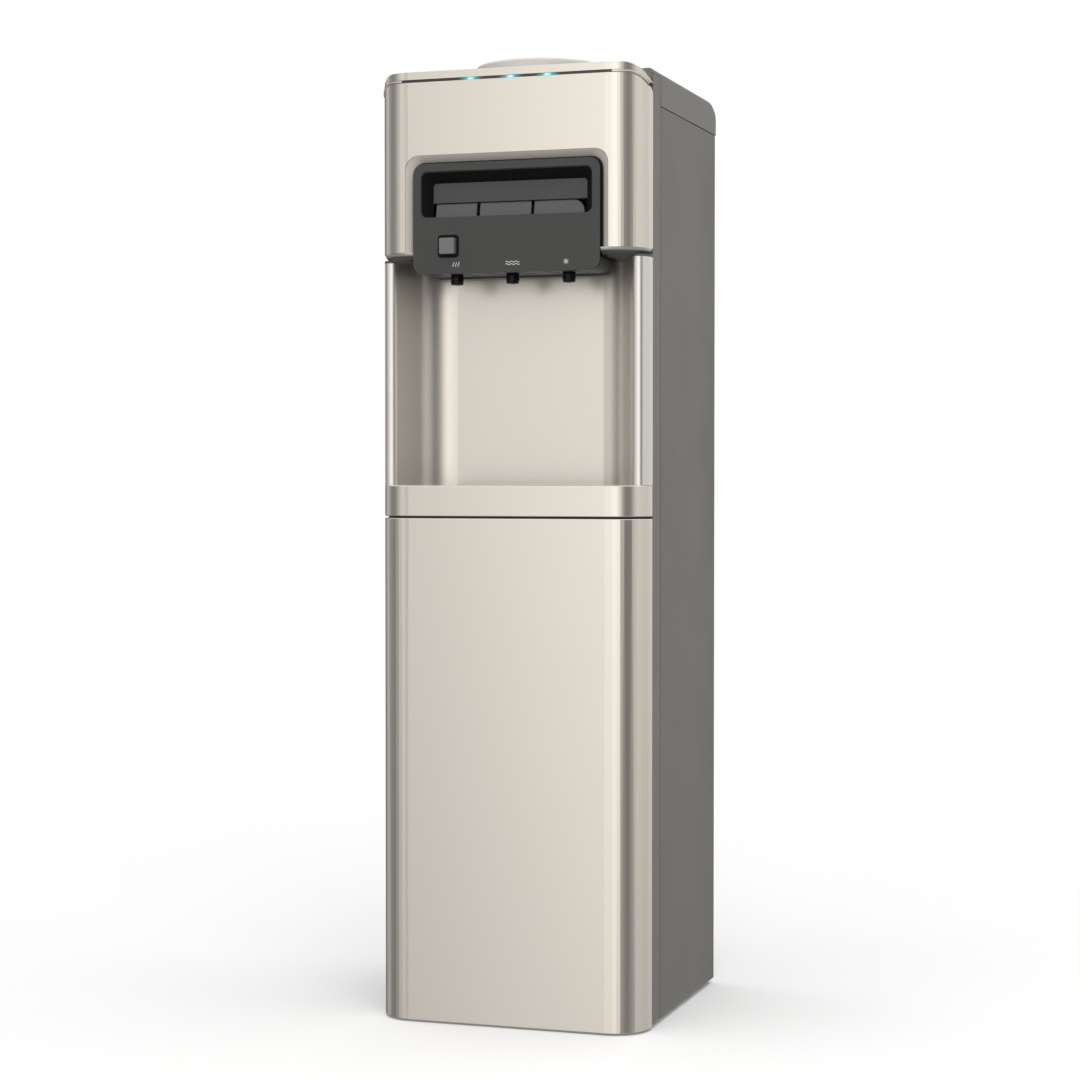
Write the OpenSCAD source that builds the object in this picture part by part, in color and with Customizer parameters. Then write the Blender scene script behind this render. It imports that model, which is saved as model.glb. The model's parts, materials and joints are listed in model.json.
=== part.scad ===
// Top load water cooler, floor standing, with three keys over a flared niche.
// Millimetres. +Z is up, the front faces -Y, and the origin is on the floor under the middle of the cabinet.
// Every module is drawn with y measured back from the front face; from_front() moves it into the frame.

/* [Cabinet] */
// Width over the side panels
body_w = 306; // [296:1:330]
// Depth from the front face to the rear edge of the side panels
body_d = 316; // [312:1:350]
// Height of the front cap, without the bottle collar
body_h = 1040; // [1020:5:1080]
// Plan radius of the two front corners
corner_r = 41; // [36:1:44]
// Wall of the plastic mouldings
wall = 2.5; // [2:0.1:3]
// Thickness of the steel side panels
sheet = 1; // [0.8:0.1:1.4]
// Underside of the base tray, which is also the height of the feet
foot_h = 6; // [5:0.5:12]
// Radius of a foot
foot_r = 12; // [8:0.5:14]
// Height of the base tray's rim
tray_rim_h = 40; // [30:1:60]

/* [Front panels] */
// Height of the head: upper panel, light slot and cap
head_h = 196; // [186:1:206]
// Gap at that seam
seam_gap = 2; // [1:0.5:3]
// Height of the sill above the seam
sill_h = 34.7; // [33:0.1:38]
// Height of the niche from the sill to the upper panel
niche_h = 254.3; // [245:0.1:262]
// Depth of the niche
niche_depth = 83; // [82:0.5:84]
// Width of the flare at each side of the niche
flare_w = 69; // [67:1:71]
// Radius of the hollow between the back wall and the flared side
cove_r = 40; // [37:0.5:42]
// Radius of the rounded edge at each side of the niche
bead_r = 8; // [6:0.5:9]
// How much of the cabinet's corner goes on beside the niche, in degrees
bead_turn = 24; // [20:1:30]
// Radius of the rolled edge under the upper panel
roll_r = 13; // [12:0.5:14]
// How far the ceiling lies under the upper panel's edge
ceiling_drop = 9; // [7:0.5:10]

/* [Top] */
// Height of the front cap over the light slot
cap_h = 8.5; // [7:0.5:10]
// Height of the light slot
slot_h = 3; // [2.5:0.1:4]
// Length of the dark lens in the slot
lens_w = 250; // [200:2:254]
// Radius of the cap's top corners, seen from the front
cap_r = 22; // [20:0.5:24]
// Radius of the upper panel's top corners, seen from the front
shoulder_r = 19; // [17:0.5:20]
// Step from the front cap down to the top cover
cover_step = 1.6; // [1:0.1:3]
// Height of the top cover with its skirt
skirt_h = 37; // [34:0.5:40]
// Radius of the top cover's long edges
cover_r = 5; // [4:0.5:12]
// Outer radius of the bottle collar
collar_r = 74; // [70:1:76]
// Height of the bottle collar over the top cover
collar_h = 20; // [16:0.5:24]
// Radius of the throat that the bottle's neck goes into
throat_r = 32; // [30:0.5:36]
// Width of the collar's flange on the top cover
flange_w = 8; // [5:0.5:10]
// Distance from the front mouldings' rear edge to the collar's flange
collar_back = 1; // [0.5:0.5:6]

/* [Control fascia] */
// Distance from the cabinet's side to the dark fascia
fascia_side = 46.5; // [45:0.5:47.5]
// Height of the fascia
fascia_h = 120; // [118:0.5:124]
// How far the fascia hangs below the upper panel
fascia_hang = 24.3; // [20:0.1:26]
// Corner radius of the fascia
fascia_r = 12; // [8:0.5:14]
// Width of the bevel round the fascia
bevel_w = 8.5; // [6:0.5:10]
// Distance from the fascia's side to the finger recess
window_side = 8.5; // [7.5:0.5:10.5]
// Height of the finger recess
window_h = 50; // [48:0.5:52]
// Depth of the finger recess
recess_depth = 15; // [14:0.5:15.5]

/* [Keys and taps] */
// Distance from the row of keys to the recess's side
key_side = 13; // [12:0.5:14]
// How far the middle key lies to the left of the nozzle behind it
key_shift = 5; // [3:0.5:6]
// Gap between two keys
key_gap = 3.8; // [3.4:0.1:4.2]
// Radius of the rod that the keys turn on
rod_r = 2; // [1.5:0.1:2.2]
// How much further apart the nozzles are than the keys
nozzle_spread = 2; // [-3:0.1:3]
// Outer radius of a nozzle
nozzle_r = 7; // [6:0.1:7.5]
// How far the nozzles reach below the fascia
nozzle_drop = 10.7; // [8:0.1:14]
// Side of the lock button's face
button_w = 17.5; // [15:0.5:18.5]
// How far the lock button stands out
button_out = 6; // [4:0.5:7]

/* [Drip tray] */
// How far the drip tray reaches past the niche's flat back wall at each side
drip_over = 10; // [1:1:11]
// Depth of the drip tray from front to back
drip_d = 64; // [58:1:66]
// Height of the drip tray
drip_h = 26; // [20:0.5:26.5]
// Thickness of the grille
grille_t = 4.7; // [4:0.1:5.5]

/* [Inside] */
// Distance from the cold tank to the outside of its foam
foam_wall = 24; // [20:1:30]
// Radius of the hot tank
hot_r = 42; // [36:1:46]
// Height of the hot tank
hot_h = 155; // [120:1:165]
// Radius of the compressor
compressor_r = 60; // [50:1:66]
// Height of the compressor
compressor_h = 165; // [140:1:190]

/* [Back] */
// Height of the rear panel's lower edge
bay_h = 330; // [300:5:345]
// Distance from the cabinet's side to the condenser's bends
coil_side = 69; // [60:1:75]
// Distance between the condenser's runs
run_pitch = 50; // [44:1:54]
// Outer radius of the condenser tube
tube_r = 2.5; // [2:0.1:3]
// Swing of a rocker switch to either side, in degrees
rocker_swing = 12; // [8:1:14]

/* [Hidden] */
$fn = 96;

champagne = "#dcd2c8";
grey = "#76726c";
black = "#101214";
dark = "#4d4d4b";
key_grey = "#666664";
steel = "#b8bcc0";
copper = "#b87850";
foam = "#e8e4d0";
light = "#3cbec8";

// Gaps between seated pieces, between moving pieces, and round the pins
seat = 0.3;
clear = 0.6;
pin_gap = 0.05;
lift = 2;

half_w = body_w / 2;
front_depth = corner_r + 3;
shell_depth = front_depth - seat;
niche_top = body_h - head_h;
sill_z = niche_top - niche_h;
seam_z = sill_z - sill_h;
ceiling_z = niche_top - ceiling_drop;
cap_low = body_h - cap_h;
panel_top = cap_low - slot_h;
cover_top = body_h - cover_step;
cover_low = cover_top - skirt_h;
steel_top = cover_low - 1;
collar_top = cover_top + collar_h;

niche_flat = body_w - 2 * flare_w;

// Centres of the curves on the niche's right side, and where the straight flare meets them
cove_c = [niche_flat / 2, niche_depth - cove_r];
corner_c = [half_w - corner_r, corner_r];
bead_c = corner_c + (corner_r - bead_r) * [cos(bead_turn), -sin(bead_turn)];
flare_a = atan2(bead_c[1] - cove_c[1], bead_c[0] - cove_c[0]) + acos((cove_r + bead_r) / norm(bead_c - cove_c));

fascia_w = body_w - 2 * fascia_side;
window_w = fascia_w - 2 * window_side;
fascia_z = niche_top - fascia_hang;
fascia_top = fascia_z + fascia_h;
pocket_gap = 1;
pocket_depth = 8;
window_top = fascia_top - 8.5;
window_z = window_top - window_h;
recess_drop = 11.7;
recess_side = 10;
face_t = 3;

pivot_y = 12;
pivot_z = window_z - 25;
key_top = window_z + 16;
key_pitch = 0.318 * window_w;
row_half = window_w / 2 - key_side;
nozzle_pitch = key_pitch + nozzle_spread;

// Middles of the gaps at the keys' ends, where the ribs hold the rod
key_gaps = [-row_half - key_gap / 2, -key_shift - key_pitch / 2, -key_shift + key_pitch / 2, row_half + key_gap / 2];

valve_z = window_z - 5;
barrel_y = 24;
barrel_r = 10;
housing_back = 60;
plunger_tip = 17.3;
plunger_r = 4;
nozzle_y = 25;
nozzle_low = fascia_z - nozzle_drop;
button_x = 41 - fascia_w / 2;
button_z = niche_top + 5.5;

drip_w = niche_flat + 2 * drip_over;
drip_y = 10 + clear;

rear_y = body_d - 26;
shelf_z = niche_top - 79;
foam_y = niche_depth + 5;
foam_d = rear_y - 18 - foam_y;
foam_w = foam_d;
foam_z = shelf_z + 10;
foam_top = cover_top - 56;
cold_r = foam_d / 2 - foam_wall;
tank_y = foam_y + foam_d / 2;
tank_z = foam_z + 15;
tank_top = foam_top - 17;
cup_z = foam_top + 2;
collar_y = front_depth + collar_back + flange_w + collar_r;

// Hot tank's axis, its top and bottom, the pipe that feeds it and the hose beside it
hot_x = 32 - foam_w / 2;
hot_y = tank_y + 10;
hot_top = shelf_z - 20;
hot_z = hot_top - hot_h;
feed_x = hot_x + 20;
hose_x = hot_x - hot_r - 10;
hose_y = foam_y - 7;

compressor_y = rear_y - 80;
drier_x = 41 - half_w;
drier_y = rear_y - 28;
drier_z = 120;
drier_h = 70;

coil_y = rear_y + 13;
runs = 11;
coil_z = 250;
coil_half = half_w - coil_side;
bend_r = run_pitch / 2;

switch_z = steel_top - 60;
louvre_z = steel_top - 180;
rocker_y = rear_y + 13;
outlet_x = half_w - 27;
drain_z = bay_h + 90;
gland_z = bay_h + 30;
screw_rows = [bay_h + 12, bay_h + 270, steel_top - 14];
light_x = [-40, 5.5, 47.4];

// Frame and drawing directions

module from_front() {
  translate([0, (button_out - body_d) / 2, 0]) children();
}

// A plan outline made upright between two heights
module upright(low, high) {
  translate([0, 0, low]) linear_extrude(high - low) children();
}

// An outline drawn as (y, z), run along x
module across(from, to) {
  translate([from, 0, 0]) rotate([90, 0, 90]) linear_extrude(to - from) children();
}

// An outline drawn as (x, z), run along y
module facing(from, to) {
  translate([0, to, 0]) rotate([90, 0, 0]) linear_extrude(to - from) children();
}

module both_sides() {
  children();
  mirror([1, 0, 0]) children();
}

module rounded(left, low, right, high, r) {
  translate([left + r, low]) square([right - left - 2 * r, high - low]);
  translate([left, low + r]) square([right - left, high - low - 2 * r]);
  for (x = [left + r, right - r], y = [low + r, high - r]) translate([x, y]) circle(r);
}

// Flat front with two true round corners, straight sides and back; inset moves it inward
module plan(inset, depth) {
  half = half_w - inset;
  r = corner_r - inset;
  difference() {
    translate([-half, inset]) square([2 * half, depth - inset]);
    for (s = [-1, 1]) translate([s * (half - r), corner_r]) difference() {
      translate([s > 0 ? 0 : -r - 1, -r - 1]) square([r + 1, r + 1]);
      circle(r);
    }
  }
}

module plan_ring(outer, inner, depth) {
  difference() {
    plan(outer, depth);
    plan(inner, depth + 1);
  }
}

// Upright outline with two round top corners
module arch(top, r, half, low) {
  difference() {
    translate([-half, low]) square([2 * half, top - low]);
    for (s = [-1, 1]) translate([s * (half - r), top - r]) difference() {
      translate([s > 0 ? 0 : -r - 1, 0]) square([r + 1, r + 1]);
      circle(r);
    }
  }
}

// Round tube along a path with straight runs and ball corners
module tube_path(points, r) {
  for (i = [0:len(points) - 2]) {
    run = points[i + 1] - points[i];
    length = norm(run);
    translate(points[i]) rotate([0, acos(run[2] / length), atan2(run[1], run[0])]) cylinder(h = length, r = r);
  }
  if (len(points) > 2)
    for (i = [1:len(points) - 2]) translate(points[i]) sphere(r);
}

// Front mouldings

module lower_front_panel() {
  color(champagne) {
    top = seam_z - seam_gap / 2;
    upright(lift, top) plan_ring(0, wall, shell_depth);
    upright(top - 12 - wall, top - 12) plan_ring(0, wall + 10, shell_depth);
    upright(lift, lift + wall) plan_ring(0, wall + 10, shell_depth);
    for (z = [1, 2, 3]) upright(z * top / 4, z * top / 4 + wall) plan_ring(wall - 0.1, wall + 7, shell_depth);
    for (x = [-1.5:1:1.5]) translate([x * body_w / 5 - 1, wall - 0.1, foot_h + tray_rim_h + 10])
      cube([2, 7.1, top - foot_h - tray_rim_h - 20]);
  }
}

// Plan of the niche out to a distance t behind its faces, right half
module niche_half(t) {
  out = [cos(flare_a), sin(flare_a)];
  cove_end = cove_c + (cove_r + t) * out;
  bead_end = bead_c - (bead_r - t) * out;
  translate([-1, 20]) square([cove_c[0] + 1, niche_depth + t - 20]);
  translate(cove_c) intersection() {
    circle(cove_r + t);
    translate([0, -10]) square(cove_r + 20);
  }
  polygon([[0, 20], [0, cove_c[1]], cove_c, cove_end, bead_end, [bead_end[0], 20]]);
}

module niche_plan(t) {
  niche_half(t);
  mirror([1, 0]) niche_half(t);
}

// Plan of the sill's deck and of the ceiling: front band and niche together
module deck_plan(inset) {
  plan(inset, shell_depth);
  niche_plan(inset > 0 ? wall / 2 : wall);
}

module sill_panel() {
  color(champagne) {
    low = seam_z + seam_gap / 2;
    well = drip_w / 2 + clear + wall;
    well_y = drip_y - clear;
    difference() {
      union() {
        upright(low, sill_z) plan_ring(0, wall, shell_depth);
        upright(seam_z - 8, low + wall) plan_ring(2 * wall, 3 * wall, shell_depth);
        upright(low, low + wall) plan_ring(wall - 0.1, 3 * wall, shell_depth);
        upright(sill_z - wall, sill_z) deck_plan(0);
        upright(sill_z - grille_t - drip_h - wall, sill_z)
          translate([-well, well_y - wall]) square([2 * well, drip_d + 2 * (clear + wall)]);
      }
      upright(sill_z - grille_t - drip_h, sill_z + 1)
        rounded(wall - well, well_y, well - wall, well_y + drip_d + 2 * clear, 8);
    }
  }
}

// Points of an arc in plan
function arc(centre, r, from, to, steps) =
  [for (i = [0:steps]) let (a = from + (to - from) * i / steps) centre + r * [cos(a), sin(a)]];

// Line a distance t behind the faces, right half: cove, flare, rounded edge and the cabinet's corner
function half_line(t) = concat(
  arc(cove_c, cove_r + t, 90, flare_a, 18),
  arc(bead_c, bead_r - t, flare_a - 180, -bead_turn, 24),
  arc(corner_c, corner_r - t, -bead_turn, 0, 8),
  [[half_w - t, shell_depth]]
);

// The same points for both halves, from the right steel side round the niche to the left one
function whole_line(t) = let (half = half_line(t), last = len(half) - 1)
  concat([for (i = [last:-1:0]) half[i]], [for (p = half) [-p[0], p[1]]]);

// Wall of the niche in plan with its two posts
module niche_wall() {
  inner = whole_line(wall);
  last = len(inner) - 1;
  polygon(concat(whole_line(0), [for (i = [last:-1:0]) inner[i]]));
}

// Rounded edge under the upper panel, drawn as (distance from the outer face, z)
module roll_profile() {
  centre = sqrt(roll_r * roll_r - pow(roll_r - ceiling_drop, 2)) + 0.5;
  intersection() {
    translate([centre, ceiling_z + roll_r]) difference() {
      circle(roll_r);
      circle(roll_r - wall);
    }
    translate([0, ceiling_z - 1]) square([centre, niche_top - ceiling_z + 1]);
  }
}

module rolled_edge() {
  across(corner_r - half_w, half_w - corner_r) roll_profile();
  both_sides() {
    translate([half_w - corner_r, corner_r, 0]) rotate([0, 0, -90]) rotate_extrude(angle = 90)
      translate([corner_r, 0]) mirror([1, 0]) roll_profile();
    facing(corner_r, shell_depth) translate([half_w, 0]) mirror([1, 0]) roll_profile();
  }
}

module niche_liner() {
  color(champagne) difference() {
    union() {
      upright(sill_z, ceiling_z + wall) niche_wall();
      upright(ceiling_z, ceiling_z + wall) deck_plan(roll_r);
      rolled_edge();
    }
    translate([-fascia_w / 2 - 0.5, -1, ceiling_z - 5]) cube([fascia_w + 1, housing_back + 1.5, 20]);
  }
}

// Thin slab of the pocket's outline, from which the bevelled pocket is drawn together
module pocket_slab(y, grow) {
  half = fascia_w / 2 + pocket_gap + grow;
  top = fascia_top + pocket_gap + grow;
  r = fascia_r + pocket_gap + grow / 3;
  low = fascia_z - 5;
  translate([0, y, 0]) facing(0, 0.1) {
    translate([-half, low]) square([2 * half, top - low - r]);
    translate([r - half, low]) square([2 * (half - r), top - low]);
    for (s = [-1, 1]) translate([s * (half - r), top - r]) circle(r, $fn = 40);
  }
}

module upper_front_panel() {
  hook = wall + seat;
  back = fascia_w / 2 - 6;
  color(champagne) difference() {
    union() {
      difference() {
        intersection() {
          upright(niche_top, body_h) plan(0, shell_depth);
          facing(-1, front_depth + 1) arch(panel_top, shoulder_r, half_w, niche_top - 1);
        }
        upright(niche_top - 1, body_h) plan(wall, front_depth + 1);
      }
      intersection() {
        union() {
          upright(panel_top - 30, panel_top - 14) plan_ring(wall - 0.1, hook + 2, shell_depth);
          upright(panel_top - 15, body_h) plan_ring(hook, hook + 2, shell_depth);
        }
        facing(-1, front_depth + 1) arch(body_h - wall - seat, cap_r - wall - seat, half_w - wall - seat, niche_top);
      }
      intersection() {
        hull() {
          pocket_slab(wall - 0.1, bevel_w + wall);
          pocket_slab(pocket_depth + wall, wall);
        }
        upright(niche_top, body_h) plan(wall / 2, front_depth);
      }
    }
    hull() {
      pocket_slab(-0.1, bevel_w);
      pocket_slab(pocket_depth - 0.1, 0);
    }
    facing(0, front_depth) rounded(-back, fascia_z, back, fascia_top - 5, 6);
  }
}

module front_cap() {
  color(champagne) difference() {
    intersection() {
      upright(panel_top - shoulder_r, body_h) plan(0, shell_depth);
      facing(-1, front_depth + 1) arch(body_h, cap_r, half_w, panel_top - shoulder_r - 1);
    }
    facing(-2, front_depth + 2) arch(cap_low, shoulder_r + slot_h, half_w + slot_h, panel_top - shoulder_r - 2);
    intersection() {
      upright(panel_top - shoulder_r - 1, body_h) plan(wall, front_depth + 2);
      facing(-1, front_depth + 2) arch(body_h - wall, cap_r - wall, half_w - wall, panel_top - shoulder_r - 2);
    }
  }
}

module light_strip() {
  color(black) difference() {
    intersection() {
      upright(panel_top + 0.1, cap_low - 0.1) plan_ring(0.8, wall + 0.2, shell_depth);
      translate([-lens_w / 2, -1, panel_top]) cube([lens_w, front_depth, slot_h]);
    }
    light_windows(0.05);
  }
}

module light_windows(grow) {
  for (x = light_x) translate([x - 4 - grow, 0.7, panel_top + slot_h / 2 - 0.9 - grow])
    cube([8 + 2 * grow, 1.2 + grow, 1.8 + 2 * grow]);
}

module status_lights() {
  color(light) light_windows(0);
}

module light_board() {
  color("#2c6e46") {
    translate([-60, 2 * wall + seat, panel_top - 12]) cube([120, 1.6, 18]);
    for (x = light_x) translate([x - 2, 2 * wall + seat + 1.5, panel_top]) cube([4, 2, 3]);
  }
}

// Control fascia, keys and taps

// Sloping walls of the finger recess, grown outward by t
module recess(t) {
  half = window_w / 2 + t;
  back = half - recess_side;
  hull() {
    translate([0, -0.1, 0]) facing(0, 0.1) rounded(-half, window_z - t, half, window_top + t, 7, $fn = 32);
    translate([0, recess_depth - 0.1, 0]) facing(0, 0.1)
      rounded(-back, window_z - t, back, window_top + t - recess_drop, 4, $fn = 32);
  }
}

module fascia_outline(inset) {
  half = fascia_w / 2 - inset;
  rounded(-half, fascia_z + inset, half, fascia_top - inset, fascia_r - inset);
}

module control_fascia() {
  rib = key_gap - 2 * clear;
  row = row_half + clear;
  floor_z = window_z - wall - 1;
  color(dark) difference() {
    union() {
      difference() {
        facing(0, pocket_depth) fascia_outline(0);
        facing(face_t, pocket_depth + 1) fascia_outline(wall);
        translate([-half_w, face_t, fascia_z - 1]) cube([body_w, 20, fascia_hang + 3]);
      }
      recess(wall);
      for (x = key_gaps) translate([x - rib / 2, face_t - 0.1, pivot_z - 6]) cube([rib, pivot_y + 3 - face_t, 12]);
    }
    recess(0);
    translate([-row, pivot_y - 0.2, floor_z]) cube([2 * row, 10, key_top - floor_z + clear]);
    across(-half_w, half_w) translate([pivot_y, pivot_z]) circle(rod_r + pin_gap);
    facing(-1, face_t + 1) lock_hole(0);
  }
}

// Rounded square opening for the lock button's bezel
module lock_hole(inset) {
  half = button_w / 2 + 3.5 - inset;
  rounded(button_x - half, button_z - half, button_x + half, button_z + half, 4 - inset / 2);
}

module recess_plate() {
  color(dark) facing(recess_depth, recess_depth + 2)
    rounded(2 - window_w / 2, key_top + 0.5, window_w / 2 - 2, window_top - 4, 4);
}

module key_rod() {
  color(steel) across(-row_half - key_gap, row_half + key_gap) translate([pivot_y, pivot_z]) circle(rod_r);
}

// Side of a key: boss round the rod, leaning paddle and the pad that pushes the plunger
module key_profile() {
  difference() {
    union() {
      translate([pivot_y, pivot_z]) circle(rod_r + 2.5);
      polygon([[pivot_y - 1.5, pivot_z + 3], [pivot_y + 0.5, window_z - 4], [14, window_z + 2], [17, key_top],
        [19.5, key_top], [16.6, window_z + 2], [pivot_y + 3, window_z - 4], [pivot_y + 2, pivot_z + 3]]);
    }
    translate([pivot_y, pivot_z]) circle(rod_r + pin_gap);
  }
}

// The right key's outer top corner is rounded off
module key(place) {
  from = key_gaps[place + 1] + key_gap / 2;
  to = key_gaps[place + 2] - key_gap / 2;
  end_r = 14;
  color(key_grey) {
    difference() {
      across(from, to) key_profile();
      if (place == 1) facing(0, 30) translate([to - end_r, key_top - end_r]) difference() {
        square(end_r + 1);
        circle(end_r);
      }
    }
    translate([place * nozzle_pitch, pivot_y + 1, valve_z]) rotate([-90, 0, 0])
      cylinder(h = plunger_tip - 0.3 - pivot_y - 1, r = 5.5);
  }
}

module lock_bezel() {
  color(black) facing(0.3, face_t + 0.3) difference() {
    lock_hole(0.1);
    rounded(button_x - button_w / 2 - 0.4, button_z - button_w / 2 - 0.4, button_x + button_w / 2 + 0.4,
      button_z + button_w / 2 + 0.4, 1.9);
  }
}

module lock_button() {
  half = button_w / 2;
  stop = half + 1.5;
  color("#828282") {
    facing(-button_out, 4.8) rounded(button_x - half, button_z - half, button_x + half, button_z + half, 1.5);
    facing(3.6, 4.8) rounded(button_x - stop, button_z - stop, button_x + stop, button_z + stop, 2.5);
  }
}

module tap_housing() {
  half = fascia_w / 2 - 1;
  slim = fascia_w / 2 - 8;
  low = fascia_z + 0.4;
  roof = ceiling_z - seat;
  rim = 4;
  color(dark) difference() {
    union() {
      facing(face_t, housing_back) rounded(-half, low, half, niche_top + 40, fascia_r);
      facing(housing_back - rim, housing_back) rounded(-half - 2, low - 2, half + 2, low + 40, fascia_r + 2);
    }
    both_sides() translate([slim, 0, roof]) cube([half_w - slim, 100, 200]);
    translate([-half_w, 0, roof]) cube([body_w, housing_back - rim, 200]);
    translate([-half_w, 0, valve_z + barrel_r + 4]) cube([body_w, 100, 200]);
    facing(face_t - 1, housing_back - wall)
      rounded(wall - half, low + wall, half - wall, niche_top + 60, fascia_r - wall);
    for (i = [-1:1]) {
      translate([i * nozzle_pitch, nozzle_y, fascia_z - 5]) cylinder(h = 20, r = nozzle_r + seat);
      translate([i * nozzle_pitch, 0, valve_z]) rotate([-90, 0, 0]) cylinder(h = 100, r = barrel_r + 0.05);
    }
    for (x = [-2.5:1:2.5]) translate([x * nozzle_pitch / 2 - 8, 10, fascia_z - 5]) rotate([0, 0, -20])
      cube([3, 30, 9]);
  }
}

module tap(place) {
  color(key_grey) translate([place * nozzle_pitch, 0, 0]) difference() {
    union() {
      translate([0, barrel_y, valve_z]) rotate([-90, 0, 0]) cylinder(h = 38, r = barrel_r);
      translate([0, housing_back, valve_z]) rotate([-90, 0, 0]) cylinder(h = 3, r = barrel_r + 2);
      translate([0, 60, valve_z]) rotate([-90, 0, 0]) cylinder(h = 16, r = 4);
      translate([0, nozzle_y, nozzle_low + 3]) cylinder(h = valve_z - nozzle_low - 6, r = nozzle_r - 2);
    }
    translate([0, barrel_y - 5, valve_z]) rotate([-90, 0, 0]) cylinder(h = 26, r = plunger_r + pin_gap);
    translate([0, nozzle_y, nozzle_low]) cylinder(h = valve_z - nozzle_low - barrel_r, r = nozzle_r - 3.5);
    translate([0, 68, valve_z]) rotate([-90, 0, 0]) cylinder(h = 16, r = 2.5);
  }
}

// Tap plunger with a slim tip, so that the tilting key only touches its middle
module plunger(place) {
  color(steel) translate([place * nozzle_pitch, plunger_tip, valve_z]) rotate([-90, 0, 0]) {
    cylinder(h = 24, r = plunger_r / 2.5);
    translate([0, 0, 3]) cylinder(h = 21, r = plunger_r);
  }
}

module nozzle(place) {
  color(black) translate([place * nozzle_pitch, nozzle_y, nozzle_low]) difference() {
    union() {
      cylinder(h = 34, r = nozzle_r);
      translate([0, 0, 16]) cylinder(h = 2, r = nozzle_r);
    }
    translate([0, 0, 2.5]) cylinder(h = 40, r = nozzle_r - 2 + pin_gap);
    translate([0, 0, -1]) cylinder(h = 10, r = nozzle_r - 3.5);
  }
}

// Drip tray

module drip_tray() {
  half = drip_w / 2;
  low = sill_z - grille_t - drip_h;
  color(dark) difference() {
    upright(low, low + drip_h) rounded(-half, drip_y, half, drip_y + drip_d, 7);
    upright(low + 2, low + drip_h + 1) rounded(2 - half, drip_y + 2, half - 2, drip_y + drip_d - 2, 5);
  }
}

module drip_grille() {
  half = drip_w / 2;
  slots = 15;
  step = (drip_w - 16) / slots;
  color(black) difference() {
    upright(sill_z - grille_t, sill_z) rounded(-half, drip_y, half, drip_y + drip_d, 7);
    for (i = [0:slots - 1], side = [0, 1]) translate([8 - half + i * step + 1.5, 0, sill_z - 10])
      translate([0, drip_y + 7 + side * drip_d / 2, 0]) cube([step - 3, drip_d / 2 - 12, 20]);
  }
}

// Steel side panels and top

module side_plan() {
  flange = 14;
  bend = 5;
  difference() {
    union() {
      translate([half_w - flange, front_depth]) square([flange - bend, body_d - front_depth]);
      translate([half_w - flange, front_depth]) square([flange, body_d - front_depth - bend]);
      translate([half_w - bend, body_d - bend]) circle(bend);
    }
    translate([half_w - flange - 1, front_depth + sheet]) {
      square([flange - bend + 1, body_d - front_depth - 2 * sheet]);
      square([flange + 1 - sheet, body_d - front_depth - bend - sheet]);
    }
    translate([half_w - bend, body_d - bend]) circle(bend - sheet);
    translate([half_w - 0.4, front_depth + 30]) square([1, 1.2]);
  }
}

// The strip in front of the pressed line runs on up beside the cover's skirt
module side_panel() {
  low = foot_h + tray_rim_h + 1;
  ear = cover_top - cover_r - 0.6;
  difference() {
    upright(foot_h, ear) side_plan();
    translate([0, front_depth + 31.2, steel_top]) cube([body_w, body_d, 100]);
    translate([half_w - 20, front_depth - 1, foot_h - 1]) cube([20 - sheet, body_d, low - foot_h + 1]);
    translate([half_w - 20, front_depth - 1, steel_top]) cube([20 - sheet, 40, 100]);
  }
}

module right_side_panel() {
  color(grey) side_panel();
}

module left_side_panel() {
  color(grey) mirror([1, 0, 0]) side_panel();
}

// Side view of the top cover, moved inward by t: flat top, long fall and tight rear corner
module cover_profile(t) {
  fall = 79;
  turn = 30;
  tight = (body_d - 271 - fall * sin(turn)) / (1 - sin(turn));
  first = [body_d - 45, cover_top - fall];
  second = first + (fall - tight) * [sin(turn), cos(turn)];
  low = cover_low - 1;
  translate([front_depth, low]) square([body_d - 45 - front_depth, cover_top - t - low]);
  intersection() {
    translate(first) circle(fall - t, $fn = 240);
    polygon([[first[0] - 1, low], [first[0] - 1, cover_top + 5], first + 2 * fall * [sin(turn / 2), cos(turn / 2)],
      first + 2 * fall * [sin(turn), cos(turn)], second, [second[0], low]]);
  }
  translate(second) circle(tight - t);
  translate([second[0] - 0.1, low]) square([tight - t + 0.1, second[1] - low]);
}

module top_cover() {
  t = 2;
  ear = cover_top - cover_r - 0.3;
  color(grey) {
    difference() {
      intersection() {
        facing(front_depth, body_d) arch(cover_top, cover_r, half_w, cover_low);
        across(-half_w, half_w) cover_profile(0);
      }
      intersection() {
        facing(front_depth + t, body_d) arch(cover_top - t, cover_r - t, half_w - t, cover_low - 1);
        across(-half_w, half_w) cover_profile(t);
        translate([-half_w, front_depth, 0]) cube([body_w, body_d - front_depth - t, body_h]);
      }
      translate([0, collar_y, cover_top - 10]) cylinder(h = 20, r = collar_r - 3);
      both_sides() {
        translate([half_w - 4, front_depth + t, cover_low - 1]) cube([5, 31.8 - t, ear - cover_low + 1]);
        translate([half_w - sheet - seat, front_depth - 1, cover_low - 1]) cube([5, 32.8, ear - cover_low + 1]);
      }
    }
    translate([-100, front_depth - 7, cover_top - t - 2]) cube([200, 8, 2]);
  }
}

module bottle_collar() {
  edge = 3.5;
  low = cover_top - 44;
  color("#cdc8c3") translate([0, collar_y, 0]) rotate_extrude() {
    polygon([[throat_r, low], [throat_r + 2.5, low], [throat_r + 2.5, cover_top - 26],
      [collar_r - 12, cover_top - 4.4], [collar_r - 3.3, cover_top - 4.4], [collar_r - 3.3, cover_top],
      [collar_r + flange_w, cover_top],
      [collar_r + flange_w, cover_top + 1.6], [collar_r + 1.5, cover_top + 2.6], [collar_r, cover_top + 4.2],
      [collar_r, collar_top - edge], [collar_r - 2 * edge, collar_top - edge], [collar_r - 8, collar_top - 6],
      [throat_r, cover_top - 22]]);
    translate([collar_r - edge, collar_top - edge]) circle(edge);
  }
}

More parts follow.
